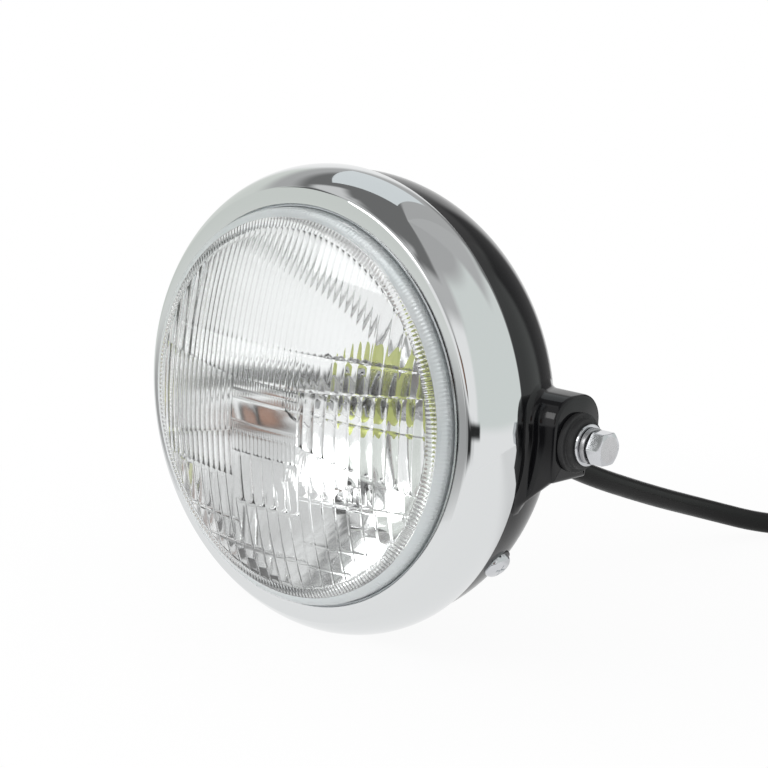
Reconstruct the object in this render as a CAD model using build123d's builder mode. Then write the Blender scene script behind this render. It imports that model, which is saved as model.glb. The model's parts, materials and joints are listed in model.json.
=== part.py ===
"""Round motorcycle headlight, in millimetres.

The origin is where the tilt axis, the line through the two ear bolts, crosses the lamp's own axis.
The glass faces -Y, the tilt axis is X and +Z is up.
"""

import os
from math import acos, asin, cos, degrees, hypot, pi, radians, sin, sqrt, tan

from build123d import *

os.makedirs("parts", exist_ok=True)

# Chrome rim
FRONT_TO_TILT = 41.0  # bezel face to the tilt axis
OPENING_R = 78.7  # edge of the hole the glass stands in
BEZEL_FACE = 5.3  # width of the flat bezel face
CREST_ROUND = 2.5  # outside rounding of the crest
CREST_TURN = 44.0  # degrees the crest turns through
RIM_FLARE = 9.2  # rear edge's outside beyond the bezel face
RIM_DEPTH = 22.2  # bezel face to the rear edge
RIM_WALL = 1.0  # sheet thickness

# Glass
GLASS_GAP = 1.0  # glass wall to the bezel's opening
GLASS = 4.0  # thickness of the dome
SHOULDER_PROUD = 6.0  # shoulder corner ahead of the bezel
DOME_RISE = 17.2  # apex ahead of the shoulder corner
SHOULDER_ROUND = 4.0  # outside rounding of the shoulder
PEAK_FLAT = 1.0  # degrees of the dome that stay flat at its middle
FLANGE_WIDTH = 4.8  # flange beyond the glass wall
FLANGE_THICK = 3.5
SEAL = 0.8  # rubber ring between bezel and flange
SEAL_MARGIN = 0.3  # ring inside the flange's edges

# Flutes on the inside of the glass
FLUTE_MARGIN = 4.2  # plain band between the fluted disc and the glass wall
FLUTE_BASE = 0.3  # valleys above the plain dome
FLUTE_ROOT = 1.6  # how far the ribs reach into the glass
RIB_CHORDS = 3  # flats across each rib
RIB_SLACK = 4.0  # degrees that the ribs are turned beyond their block
BLOCK_GAP = 0.4  # narrow groove between blocks
BLOCK_CUT = 80.0  # how far a block's outline is carried through the glass
CENTRE_HALF = 17.3  # half width of the middle column
V_EDGE = 16.0  # upper step line at the rim of the disc
V_MIDDLE = 11.5  # upper step line at the middle column
L_EDGE = -22.0  # lower step line at the rim of the disc
L_MIDDLE = -9.4  # lower step line at the middle column
STEP_ONE = -17.3  # steps down the middle column
STEP_TWO = -37.3
STEP_THREE = -56.6
SIDE_STEP = -28.0  # steps of the lower side blocks
SIDE_FOOT = -47.0
FIELD_HALF = 53.0  # half width of the lower side blocks
UPPER_RIBS = (5.2, 0.50)  # pitch and height of each block's ribs
WING_RIBS = (4.7, 0.48)
SHORT_RIBS = (2.9, 0.34)
COLUMN_RIBS = (5.8, 0.70)
FOOT_RIBS = (5.8, 0.22)
LOWER_RIBS = (4.2, 0.60)
PANE_RIBS = (6.0, 0.22)

# Reflector
FOCAL = 30.0
REFLECTOR_WALL = 1.8  # along the axis
REFLECTOR_FLANGE = 1.4
SEAT_R = 19.2  # bulb opening
COLLAR_WIDTH = 4.3
COLLAR_LENGTH = 4.6

# Spring clips that hold the reflector's flange and the glass in the rim
CLIP = 0.8
CLIP_WIDTH = 10.0
CLIP_RISE = 3.0
CLIP_LAP = 3.5  # clip over the flange
CLIP_CLEAR = 0.5  # bend beyond the flange's edge

# Bucket
RIM_GAP = 1.2  # rim's inside to the bucket
HEM_GAP = 0.4  # rim's turned-in edge to the bucket
BUCKET_LAP = 7.2  # bucket's front edge ahead of the rim's rear edge
BUCKET_STRAIGHT = 5.8  # straight wall behind the rim
BUCKET_WALL = 2.2
REAR_ROOM = 7.2  # bulb socket to the bucket's inside at the back
REAR_FLAT_R = 20.0

# Ears, bolts and their stack along the tilt axis
EAR_REACH = 12.0  # ear's end beyond the bucket wall
EAR_R = 14.5  # round foot and back, about the tilt axis
EAR_TOP = 17.5  # flat top above the tilt axis
EAR_CORNER = 11.0  # rounding from the top to the front and the back
EAR_FRONT = 13.0  # flat front face ahead of the tilt axis
EAR_EDGE = 1.6  # broken edge round the ear's end
GUSSET_DROP = 11.0  # gusset below the ear at the bucket wall
GUSSET_BACK = 8.0
BUSH_FLANGE_R = 11.4
BUSH_FLANGE = 2.6
BUSH_R = 9.5
BUSH_LENGTH = 2.5
WASHER_R = 8.0
WASHER = 1.6
SPRING_R = 6.9
SPRING = 3.0
SPRING_SLIT = 1.0
THREAD_R = 4.0
HEX_AF = 12.0
HEX_HEIGHT = 6.0
HEX_LAND = 0.8  # crown's flat inside the hexagon's flats
HEX_CONE = 30.0  # degrees of the crown's cone
BOLT_LENGTH = 24.0
INSERT_R = 6.5
INSERT_LENGTH = 12.0
BOLT_PLAY = 0.3
FIT = 0.05

# Rim screws and their tabs
SCREW_ANGLE = 36.0  # below the horizontal
SCREW_BEHIND = 13.0  # screw's axis behind the rim's rear edge
SCREW_HEAD_R = 5.8
SCREW_HEAD = 3.4
SCREW_EDGE = 1.5  # broken edge round the head
SPOT_MARGIN = 1.0  # screw boss beyond the head
SPOT_DEPTH = 0.7  # boss face below the bucket's straight wall
SCREW_R = 2.5
SCREW_LENGTH = 9.0
CROSS_LENGTH = 6.0
CROSS_WIDTH = 1.3
CROSS_DEPTH = 1.6
TAB_DROP = 1.9  # tab's outer face inside the bucket wall
TAB = 1.5
TAB_WIDTH = 12.0
TAB_AHEAD = 1.6  # tab's turn ahead of the bucket's edge
TAB_BEYOND = 4.0  # tab's end behind the screw's axis
NUT_AF = 8.0
NUT_HEIGHT = 4.0

# Bulb
BULB_LAP = 2.3  # bulb flange over its seat
BULB_FLANGE = 1.0
BULB_TAB = 1.5  # locating tabs beyond the flange
BULB_TABS = ((90, 8.0), (215, 5.0), (325, 5.0))  # where they stand, in degrees, and their widths
BASE_R = 10.2
BASE_AHEAD = 12.0
BASE_BEHIND = 10.0
CAN_DEPTH = 9.0  # how far the glass stands in the foot
GLASS_TUBE_R = 8.4
GLASS_TUBE_WALL = 0.9
BULB_REACH = 55.0  # tip of the bulb ahead of its flange
BULB_TIP = 5.0  # length of the tapered tip
BULB_TIP_R = 5.0  # flat at the tip
PINCH = 5.0  # solid glass at the foot
SUPPORT_R = 0.4  # filament supports
COIL_R = 0.8
COIL_LENGTH = 5.5
DIP_AHEAD = 2.5  # dip coil's front ahead of the focus
MAIN_BEHIND = 9.0  # main coil's front behind the focus
DIP_LEVEL = 1.2
DIP_SPREAD = 2.4
MAIN_SPREAD = 4.6
SHIELD_R = 3.6
SHIELD_WALL = 0.5
SHIELD_LENGTH = 10.0
SHIELD_AHEAD = 2.0  # tray's front ahead of the dip coil
BLADE_WIDTH = 8.0
BLADE = 0.8
BLADE_LENGTH = 9.0
BLADE_OUT = 6.5
SOCKET_WIDTH = 24.0
SOCKET_HEIGHT = 20.0
SOCKET_LENGTH = 14.0
SOCKET_GAP = 1.0
SOCKET_ROUND = 2.0
SLOT_PLAY = 0.2
WIRE_R = 0.6
WIRE_OUT = 3.8  # wire clip's legs beyond the foot
WIRE_MARGIN = 1.5  # its bends inside the collar

# Pilot lamp
PILOT_Z = -42.0
PILOT_R = 6.5
PILOT_BOSS = 3.0
PILOT_DEPTH = 8.0  # holder ahead of its boss
PILOT_GLASS_R = 5.0
PILOT_REACH = 16.0
PILOT_TIP = 2.5

# Cable
CABLE_R = 4.75
EXIT_Z = -24.0
PAD_R = 14.0
PAD_PROUD = 3.0
HOLE_R = 8.0
GROMMET_R = 11.5
GROMMET_LIP = 3.0
GROMMET_TAPER = 12.0  # degrees
GROMMET_TAIL = 2.0  # grommet inside the wall
CABLE_TAIL = 2.0  # cable inside the grommet's end
CABLE_PLAY = 0.15
CABLE_LIFT = 0.1  # cable above the level of the rim's lowest point
BEND_SHARE = 0.45  # part of a run that each of its two bends may use
LEAD_R = 1.0
LEAD_OUT = 2.8  # spacing of the socket's three leads
LEAD_RISE = 1.6  # their ends above the cable's middle
LEAD_SINK = 0.65  # how far a lead's side stands clear of the socket, in lead radii
PILOT_LEAD_OUT = 1.6
PILOT_LEAD_RISE = 4.0
PILOT_LEAD_DROP = 2.0

# Plug on the cable's end
PLUG_WIDTH = 19.0
PLUG_HEIGHT = 13.0
PLUG_LENGTH = 27.0
PLUG_ROUND = 1.5
LATCH_WIDTH = 6.0
LATCH_RISE = 1.8
LATCH_FROM = 8.1  # latch's start along the plug
LATCH_LENGTH = 13.5
CAVITY_FROM = 10.8  # floor of the pin cavities along the plug
CAVITY_HEIGHT = 4.4
CAVITY_WIDTH = 7.0
PIN = 0.8
PIN_WIDTH = 5.0
PIN_LENGTH = 11.3
PIN_ROW = 2.9
PIN_COLUMN = 4.4

# Stations along the lamp's axis
front = -FRONT_TO_TILT
rim_rear = front + RIM_DEPTH
bezel_back = front + RIM_WALL
flange_front = bezel_back + SEAL
flange_back = flange_front + FLANGE_THICK
shoulder = front - SHOULDER_PROUD
apex = shoulder - DOME_RISE
glass_r = OPENING_R - GLASS_GAP
flange_r = glass_r + FLANGE_WIDTH
mouth_r = glass_r - GLASS
dome_r = (glass_r**2 + DOME_RISE**2) / (2 * DOME_RISE)
dome_y = apex + dome_r
inner_dome_r = dome_r - GLASS
flute_r = mouth_r - FLUTE_MARGIN
crest_r = OPENING_R + BEZEL_FACE
rim_rear_r = crest_r + RIM_FLARE
bucket_r = rim_rear_r - RIM_WALL - RIM_GAP
bucket_in_r = bucket_r - BUCKET_WALL
bucket_front = rim_rear - BUCKET_LAP
bowl_y = rim_rear + BUCKET_STRAIGHT
vertex = flange_back + mouth_r**2 / (4 * FOCAL)
seat_y = vertex - SEAT_R**2 / (4 * FOCAL)
collar_rear = seat_y + COLLAR_LENGTH
flange_rear = collar_rear + BULB_FLANGE
base_front = collar_rear - BASE_AHEAD
base_rear = flange_rear + BASE_BEHIND
socket_front = base_rear + SOCKET_GAP
socket_rear = socket_front + SOCKET_LENGTH
bowl_in = (socket_rear + REAR_ROOM - bowl_y) / sqrt(1 - (REAR_FLAT_R / bucket_in_r) ** 2)
bowl_depth = bowl_in + BUCKET_WALL
ear_x = bucket_r + EAR_REACH
screw_y = rim_rear + SCREW_BEHIND

# The rim's band: an arc that leaves the crest's round tangentially and ends at the rear edge
crest_centre = (crest_r, front + CREST_ROUND)
turn = radians(CREST_TURN)
crest_end = (crest_r + CREST_ROUND * sin(turn), front + CREST_ROUND * (1 - cos(turn)))
inward = (-sin(turn), cos(turn))
chord = (rim_rear_r - crest_end[0], rim_rear - crest_end[1])
band_r = (chord[0] ** 2 + chord[1] ** 2) / (2 * (chord[0] * inward[0] + chord[1] * inward[1]))
band_centre = (crest_end[0] + band_r * inward[0], crest_end[1] + band_r * inward[1])
band_start = CREST_TURN - 90
band_end = degrees(asin((rim_rear - band_centre[1]) / band_r))
hem_end = degrees(asin((rim_rear - RIM_WALL - band_centre[1]) / (band_r - RIM_WALL)))
hem_r = bucket_r + HEM_GAP
rim_widest = band_centre[0] + band_r


def rim_inside(y):
    """Inside radius of the rim's band at a station along the axis."""
    return band_centre[0] + sqrt((band_r - RIM_WALL) ** 2 - (y - band_centre[1]) ** 2)


def bowl_station(r, radius, depth):
    """Station along the axis where a bowl has the given radius."""
    return bowl_y + depth * sqrt(1 - (r / radius) ** 2)


def side_plane(x, side):
    """Plane square to the tilt axis, looking outwards on one side."""
    return Plane(origin=(side * x, 0, 0), x_dir=(0, 1, 0), z_dir=(side, 0, 0))


def screw_plane(r, side):
    """Plane square to a rim screw's axis at a distance from the lamp's axis, looking outwards."""
    out = (side * cos(radians(SCREW_ANGLE)), 0, -sin(radians(SCREW_ANGLE)))
    return Plane(origin=(out[0] * r, screw_y, out[2] * r), x_dir=(0, 1, 0), z_dir=out)


def radial_plane(angle):
    """Plane that holds the lamp's axis; its x is the radius and its y the axis."""
    out = (cos(radians(angle)), 0, sin(radians(angle)))
    return Plane(origin=(0, 0, 0), x_dir=out, z_dir=(-out[2], 0, out[0]))


def arc_points(centre, radius, start, arc, steps, depth=None):
    """A few points along an arc, or along an ellipse's arc where a depth is given."""
    angles = [radians(start + arc * k / steps) for k in range(steps + 1)]
    rise = radius if depth is None else depth
    return [(centre[0] + radius * cos(a), centre[1] + rise * sin(a)) for a in angles]


def parabola_points(apex_y, outer_r, inner_r, steps):
    """Points along the reflector's parabola, from its mouth in to its collar."""
    radii = [outer_r + (inner_r - outer_r) * k / steps for k in range(steps + 1)]
    return [(r, apex_y - r**2 / (4 * FOCAL)) for r in radii]


def save(builder, label):
    """Name a sub-part and write its file."""
    builder.part.label = label
    export_step(builder.part, f"parts/{label}.step")


# Chrome rim
with BuildPart() as chrome_rim:
    with BuildSketch(Plane.XY):
        with BuildLine():
            Polyline(
                (OPENING_R, bezel_back),
                (OPENING_R, front),
                *arc_points(crest_centre, CREST_ROUND, -90, CREST_TURN, 2),
                *arc_points(band_centre, band_r, band_start, band_end - band_start, 6)[1:],
                (hem_r, rim_rear),
                (hem_r, rim_rear - RIM_WALL),
                *arc_points(band_centre, band_r - RIM_WALL, hem_end, band_start - hem_end, 3),
                (crest_r, bezel_back),
                close=True,
            )
        make_face()
    revolve(axis=Axis.Y)
save(chrome_rim, "chrome_rim")


def flute_block(corners, ribs):
    """One block of upright ribs inside the dome, cut to an outline seen from the front."""
    pitch, height = ribs
    left = min(x for x, z in corners)
    right = max(x for x, z in corners)
    low = min(z for x, z in corners)
    high = max(z for x, z in corners)
    count = round((right - left) / pitch)
    step = (right - left) / count
    start = asin(low / inner_dome_r) - radians(RIB_SLACK)
    sweep_angle = degrees(asin(high / inner_dome_r) - start) + RIB_SLACK
    profile_plane = Plane(origin=(0, dome_y, 0), x_dir=(1, 0, 0), z_dir=(0, -sin(start), -cos(start)))
    crown = [4 * k * (RIB_CHORDS - k) / RIB_CHORDS**2 for k in range(RIB_CHORDS)]
    face = []
    root = []
    for k in range(count * RIB_CHORDS + 1):
        x = left + k * step / RIB_CHORDS
        dome = sqrt(inner_dome_r**2 - x**2)
        face.append((x, dome - FLUTE_BASE - height * crown[k % RIB_CHORDS]))
        if k % RIB_CHORDS == 0:
            root.append((x, dome + FLUTE_ROOT))
    with BuildPart() as block:
        with BuildSketch(profile_plane):
            with BuildLine():
                Polyline(*face, *reversed(root), close=True)
            make_face()
        revolve(axis=Axis((0, dome_y, 0), (-1, 0, 0)), revolution_arc=sweep_angle)
        with BuildSketch(Plane.XZ):
            with BuildLine():
                Polyline(*corners, close=True)
            make_face()
            Circle(flute_r, mode=Mode.INTERSECT)
            offset(amount=-BLOCK_GAP / 2, mode=Mode.REPLACE)
        extrude(amount=BLOCK_CUT, mode=Mode.INTERSECT)
    return block.part


def mirrored(outline):
    """The same outline on the other side of the middle."""
    return [(-x, z) for x, z in outline]


def column_outline(high, low):
    """A block's outline across the middle column, between two steps."""
    return [(-CENTRE_HALF, high), (CENTRE_HALF, high), (CENTRE_HALF, low), (-CENTRE_HALF, low)]


upper_outline = [
    (-flute_r, V_EDGE),
    (-CENTRE_HALF, V_MIDDLE),
    (CENTRE_HALF, V_MIDDLE),
    (flute_r, V_EDGE),
    (flute_r, flute_r),
    (-flute_r, flute_r),
]
wing_outline = [
    (CENTRE_HALF, V_MIDDLE),
    (flute_r, V_EDGE),
    (flute_r, L_EDGE),
    (CENTRE_HALF, L_MIDDLE),
]
lower_outline = [
    (CENTRE_HALF, L_MIDDLE),
    (FIELD_HALF, L_EDGE),
    (FIELD_HALF, SIDE_STEP),
    (CENTRE_HALF, SIDE_STEP),
]
pane_outline = [
    (CENTRE_HALF, SIDE_STEP),
    (FIELD_HALF, SIDE_STEP),
    (FIELD_HALF, SIDE_FOOT),
    (CENTRE_HALF, SIDE_FOOT),
]
flute_blocks = [
    flute_block(upper_outline, UPPER_RIBS),
    flute_block(wing_outline, WING_RIBS),
    flute_block(mirrored(wing_outline), WING_RIBS),
    flute_block(column_outline(L_MIDDLE, STEP_ONE), SHORT_RIBS),
    flute_block(column_outline(STEP_ONE, STEP_TWO), COLUMN_RIBS),
    flute_block(column_outline(STEP_TWO, STEP_THREE), FOOT_RIBS),
    flute_block(lower_outline, LOWER_RIBS),
    flute_block(mirrored(lower_outline), LOWER_RIBS),
    flute_block(pane_outline, PANE_RIBS),
    flute_block(mirrored(pane_outline), PANE_RIBS),
]

# Glass: dome, shoulder and flange in one pressing, with the ribs on its inside
shoulder_r = glass_r - SHOULDER_ROUND
shoulder_centre = (shoulder_r, dome_y - sqrt((dome_r - SHOULDER_ROUND) ** 2 - shoulder_r**2))
dome_turn = degrees(asin(shoulder_r / (dome_r - SHOULDER_ROUND)))
inner_turn = degrees(asin(mouth_r / inner_dome_r))
with BuildPart() as front_lens:
    with BuildSketch(Plane.XY):
        with BuildLine():
            Polyline(
                (0, dome_y - dome_r * cos(radians(PEAK_FLAT))),
                *arc_points((0, dome_y), dome_r, PEAK_FLAT - 90, dome_turn - PEAK_FLAT, 6),
                *arc_points(shoulder_centre, SHOULDER_ROUND, dome_turn - 90, 90 - dome_turn, 3)[1:],
                (glass_r, flange_front),
                (flange_r, flange_front),
                (flange_r, flange_back),
                (mouth_r, flange_back),
                *arc_points((0, dome_y), inner_dome_r, inner_turn - 90, PEAK_FLAT - inner_turn, 5),
                (0, dome_y - inner_dome_r * cos(radians(PEAK_FLAT))),
                close=True,
            )
        make_face()
    revolve(axis=Axis.Y)
    for rib_block in flute_blocks:
        add(rib_block)
save(front_lens, "front_lens")

# Rubber ring between the bezel's back and the glass flange
with BuildPart() as lens_seal:
    with BuildSketch(Plane.XZ.offset(-bezel_back)):
        Circle(flange_r - SEAL_MARGIN)
        Circle(glass_r + SEAL_MARGIN, mode=Mode.SUBTRACT)
    extrude(amount=-SEAL)
save(lens_seal, "lens_seal")

# Reflector: a parabola from the glass flange to the bulb's collar
collar_r = SEAT_R + COLLAR_WIDTH
back_vertex = vertex + REFLECTOR_WALL
reflector_back = flange_back + REFLECTOR_FLANGE
back_mouth_r = sqrt(4 * FOCAL * (back_vertex - reflector_back))
pilot_seat = back_vertex - (-PILOT_Z - PILOT_R - PILOT_BOSS) ** 2 / (4 * FOCAL) + PILOT_BOSS
with BuildPart() as reflector:
    with BuildSketch(Plane.XY):
        with BuildLine():
            Polyline(
                *parabola_points(vertex, mouth_r, SEAT_R, 6),
                (SEAT_R, collar_rear),
                (collar_r, collar_rear),
                *reversed(parabola_points(back_vertex, back_mouth_r, collar_r, 3)),
                (flange_r, reflector_back),
                (flange_r, flange_back),
                close=True,
            )
        make_face()
    revolve(axis=Axis.Y)
    with BuildSketch(Plane.XZ.offset(-pilot_seat)):
        with Locations((0, PILOT_Z)):
            Circle(PILOT_R + PILOT_BOSS)
    extrude(until=Until.NEXT)
    with BuildSketch(Plane.XZ.offset(-pilot_seat)):
        with Locations((0, PILOT_Z)):
            Circle(PILOT_R)
    extrude(amount=FRONT_TO_TILT, mode=Mode.SUBTRACT)
save(reflector, "reflector")

# Spring clips between the rim's inside and the back of the reflector's flange
clip_foot = flange_r - CLIP_LAP
clip_bend = flange_r + CLIP_CLEAR
clip_end = sqrt(rim_inside(reflector_back + CLIP_RISE) ** 2 - (CLIP_WIDTH / 2) ** 2) - 8 * FIT
with BuildPart() as unit_clips:
    for clip_angle in (45, 135, 225, 315):
        with BuildSketch(radial_plane(clip_angle)):
            with BuildLine():
                Polyline(
                    (clip_foot, reflector_back),
                    (clip_bend, reflector_back),
                    (clip_end, reflector_back + CLIP_RISE),
                    (clip_end, reflector_back + CLIP_RISE + CLIP),
                    (clip_bend - CLIP / 2, reflector_back + CLIP),
                    (clip_foot, reflector_back + CLIP),
                    close=True,
                )
            make_face()
        extrude(amount=CLIP_WIDTH / 2, both=True)
save(unit_clips, "unit_clips")

# One ear, with its gusset, before it joins the bucket
ear_root = bucket_in_r - BUCKET_WALL
with BuildPart() as ear:
    with BuildSketch(Plane.YZ.offset(ear_root)):
        with Locations(((EAR_R - EAR_FRONT) / 2, EAR_TOP / 2)):
            ear_head = Rectangle(EAR_R + EAR_FRONT, EAR_TOP)
        fillet(ear_head.vertices().group_by(Axis.Y)[-1], EAR_CORNER)
        Circle(EAR_R)
        with Locations((-EAR_FRONT / 2, -EAR_R / 2)):
            Rectangle(EAR_FRONT, EAR_R)
    extrude(amount=ear_x - ear_root)
    gusset_run = GUSSET_DROP * (ear_x - ear_root) / (ear_x - bucket_r + BUCKET_WALL)
    with BuildSketch(Plane.XZ.offset(EAR_FRONT)):
        with BuildLine():
            Polyline(
                (ear_root, 0),
                (ear_x, 0),
                (ear_x, -EAR_R),
                (ear_root, -EAR_R - gusset_run),
                close=True,
            )
        make_face()
    extrude(amount=-(EAR_FRONT + GUSSET_BACK))
    ear_end = ear.faces().sort_by(Axis.X)[-1]
    chamfer(ear_end.edges(), EAR_EDGE)

# Bucket: a short straight wall, an elliptical bowl, the two ears and the pad for the cable
bowl_edge = degrees(acos(REAR_FLAT_R / bucket_r))
bowl_in_edge = degrees(acos(REAR_FLAT_R / bucket_in_r))
bucket_rear = bowl_station(REAR_FLAT_R, bucket_r, bowl_depth)
bucket_in_rear = bowl_station(REAR_FLAT_R, bucket_in_r, bowl_in)
pad_y = bowl_station(-EXIT_Z, bucket_r, bowl_depth) + PAD_PROUD
spot_r = SCREW_HEAD_R + SPOT_MARGIN
screw_reach = bucket_r * sqrt(1 - max(screw_y - bowl_y, 0) ** 2 / bowl_depth**2)
screw_seat_r = bucket_r - SPOT_DEPTH
tab_r = screw_reach - BUCKET_WALL - TAB_DROP
with BuildPart() as bucket:
    with BuildSketch(Plane.XY):
        with BuildLine():
            Polyline(
                (0, bucket_front),
                (bucket_r, bucket_front),
                *arc_points((0, bowl_y), bucket_r, 0, bowl_edge, 9, bowl_depth),
                (0, bucket_rear),
                close=True,
            )
        make_face()
    revolve(axis=Axis.Y)
    add(ear.part)
    mirror(ear.part, about=Plane.YZ)
    with BuildSketch(Plane.XZ.offset(-pad_y)):
        with Locations((0, EXIT_Z)):
            Circle(PAD_R)
    extrude(amount=pad_y)
    with BuildSketch(Plane.XY):
        with BuildLine():
            Polyline(
                (0, bucket_front),
                (bucket_in_r, bucket_front),
                *arc_points((0, bowl_y), bucket_in_r, 0, bowl_in_edge, 5, bowl_in),
                (0, bucket_in_rear),
                close=True,
            )
        make_face()
    revolve(axis=Axis.Y, mode=Mode.SUBTRACT)
    for side in (1, -1):
        with BuildSketch(side_plane(ear_x, side)):
            Circle(INSERT_R)
        extrude(amount=-(ear_x - ear_root + EAR_REACH), mode=Mode.SUBTRACT)
        with BuildSketch(screw_plane(tab_r, side)):
            Circle(spot_r)
        extrude(amount=screw_seat_r - tab_r)
        with BuildSketch(screw_plane(screw_seat_r, side)):
            Circle(spot_r)
        extrude(amount=SCREW_HEAD, mode=Mode.SUBTRACT)
        with BuildSketch(screw_plane(tab_r - TAB, side)):
            Circle(SCREW_R + BOLT_PLAY)
        extrude(amount=SCREW_HEAD + bucket_r - tab_r, mode=Mode.SUBTRACT)
    with BuildSketch(Plane.XZ.offset(-pad_y)):
        with Locations((0, EXIT_Z)):
            Circle(HOLE_R)
    extrude(amount=pad_y, mode=Mode.SUBTRACT)
save(bucket, "bucket")

# Brass inserts in the ears
with BuildPart() as ear_inserts:
    for side in (1, -1):
        with BuildSketch(side_plane(ear_x, side)):
            Circle(INSERT_R - FIT)
            Circle(THREAD_R + FIT, mode=Mode.SUBTRACT)
        extrude(amount=-INSERT_LENGTH)
save(ear_inserts, "ear_inserts")

# Stepped rubber bushes on the ears' ends
bush_step = ear_x + BUSH_FLANGE
bush_end = bush_step + BUSH_LENGTH
with BuildPart() as pivot_bushes:
    for side in (1, -1):
        with BuildSketch(side_plane(ear_x, side)):
            Circle(BUSH_FLANGE_R)
            Circle(THREAD_R + BOLT_PLAY, mode=Mode.SUBTRACT)
        extrude(amount=BUSH_FLANGE)
        with BuildSketch(side_plane(bush_step, side)):
            Circle(BUSH_R)
            Circle(THREAD_R + BOLT_PLAY, mode=Mode.SUBTRACT)
        extrude(amount=BUSH_LENGTH)
save(pivot_bushes, "pivot_bushes")

# Flat washers
with BuildPart() as flat_washers:
    for side in (1, -1):
        with BuildSketch(side_plane(bush_end, side)):
            Circle(WASHER_R)
            Circle(THREAD_R + BOLT_PLAY, mode=Mode.SUBTRACT)
        extrude(amount=WASHER)
save(flat_washers, "flat_washers")

# Split spring washers
spring_x = bush_end + WASHER
head_x = spring_x + SPRING
with BuildPart() as spring_washers:
    for side in (1, -1):
        with BuildSketch(side_plane(spring_x, side)):
            Circle(SPRING_R)
            Circle(THREAD_R + BOLT_PLAY, mode=Mode.SUBTRACT)
            with Locations((0, SPRING_R)):
                Rectangle(SPRING_SLIT, 2 * SPRING_R, mode=Mode.SUBTRACT)
        extrude(amount=SPRING)
save(spring_washers, "spring_washers")

# Hexagon bolts on the tilt axis, a corner to the front, their heads chamfered by a cone
hex_corner = HEX_AF / sqrt(3)
crown = head_x + HEX_HEIGHT
crown_r = HEX_AF / 2 - HEX_LAND
cone_r = hex_corner + HEX_LAND
cone_x = crown - (cone_r - crown_r) * tan(radians(HEX_CONE))
with BuildPart() as tilt_bolts:
    for side in (1, -1):
        with BuildSketch(side_plane(head_x, side)):
            RegularPolygon(HEX_AF / 2, 6, major_radius=False)
        extrude(amount=HEX_HEIGHT)
        with BuildSketch(Plane.XY):
            with BuildLine():
                Polyline(
                    (side * crown, crown_r),
                    (side * crown, cone_r),
                    (side * cone_x, cone_r),
                    close=True,
                )
            make_face()
        revolve(axis=Axis.X, mode=Mode.SUBTRACT)
        with BuildSketch(side_plane(head_x, side)):
            Circle(THREAD_R)
        extrude(amount=-BOLT_LENGTH)
save(tilt_bolts, "tilt_bolts")

# Rim screws: pan heads with a cross recess, set radially
with BuildPart() as rim_screws:
    for side in (1, -1):
        with BuildSketch(screw_plane(screw_seat_r, side)):
            Circle(SCREW_HEAD_R)
        extrude(amount=SCREW_HEAD)
        with BuildSketch(screw_plane(screw_seat_r, side)):
            Circle(SCREW_R)
        extrude(amount=-SCREW_LENGTH)
    head_rims = rim_screws.edges().filter_by(GeomType.CIRCLE).group_by(SortBy.RADIUS)[-1]
    middle_r = screw_seat_r + SCREW_HEAD / 2
    outer_rims = [rim for rim in head_rims if hypot(rim.center().X, rim.center().Z) > middle_r]
    chamfer(outer_rims, SCREW_EDGE)
    for side in (1, -1):
        with BuildSketch(screw_plane(screw_seat_r + SCREW_HEAD - CROSS_DEPTH, side)):
            Rectangle(CROSS_LENGTH, CROSS_WIDTH)
            Rectangle(CROSS_WIDTH, CROSS_LENGTH)
        extrude(amount=SCREW_HEAD, mode=Mode.SUBTRACT)
save(rim_screws, "rim_screws")

# Tabs that reach from the rim's inside past the bucket's edge to the screws
tab_turn = bucket_front - TAB_AHEAD
tab_foot = sqrt(rim_inside(tab_turn - TAB) ** 2 - (TAB_WIDTH / 2) ** 2) - 4 * FIT
tab_end = screw_y + TAB_BEYOND
with BuildPart() as rim_brackets:
    for tab_angle in (-SCREW_ANGLE, SCREW_ANGLE - 180):
        with BuildSketch(radial_plane(tab_angle)):
            with BuildLine():
                Polyline(
                    (tab_r - TAB, tab_end),
                    (tab_r, tab_end),
                    (tab_r, tab_turn),
                    (tab_foot, tab_turn),
                    (tab_foot, tab_turn - TAB),
                    (tab_r - TAB, tab_turn - TAB),
                    close=True,
                )
            make_face()
        extrude(amount=TAB_WIDTH / 2, both=True)
    for side in (1, -1):
        with BuildSketch(screw_plane(tab_r - 2 * TAB, side)):
            Circle(SCREW_R + BOLT_PLAY)
        extrude(amount=3 * TAB, mode=Mode.SUBTRACT)
save(rim_brackets, "rim_brackets")

# Nuts on the tabs
with BuildPart() as rim_nuts:
    for side in (1, -1):
        with BuildSketch(screw_plane(tab_r - TAB, side)):
            RegularPolygon(NUT_AF / 2, 6, major_radius=False)
            Circle(SCREW_R + FIT, mode=Mode.SUBTRACT)
        extrude(amount=-NUT_HEIGHT)
save(rim_nuts, "rim_nuts")

# Bulb flange with its locating tabs, seated on the reflector's collar
bulb_flange_r = SEAT_R + BULB_LAP
bulb_tab_r = bulb_flange_r + BULB_TAB
with BuildPart() as bulb_flange:
    with BuildSketch(Plane.XZ.offset(-collar_rear)):
        Circle(bulb_flange_r)
        for tab_angle, tab_width in BULB_TABS:
            with Locations(Rotation(0, 0, tab_angle)):
                with Locations((bulb_tab_r / 2, 0)):
                    Rectangle(bulb_tab_r, tab_width)
        Circle(BASE_R + FIT, mode=Mode.SUBTRACT)
    extrude(amount=-BULB_FLANGE)
save(bulb_flange, "bulb_flange")

# Bulb foot: a can that holds the glass ahead of the flange and a plug behind it
can_floor = base_front + CAN_DEPTH
with BuildPart() as bulb_base:
    with BuildSketch(Plane.XZ.offset(-base_front)):
        Circle(BASE_R)
    extrude(amount=-(base_rear - base_front))
    with BuildSketch(Plane.XZ.offset(-base_front)):
        Circle(GLASS_TUBE_R + 4 * FIT)
    extrude(amount=-(can_floor - base_front), mode=Mode.SUBTRACT)
save(bulb_base, "bulb_base")

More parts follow.
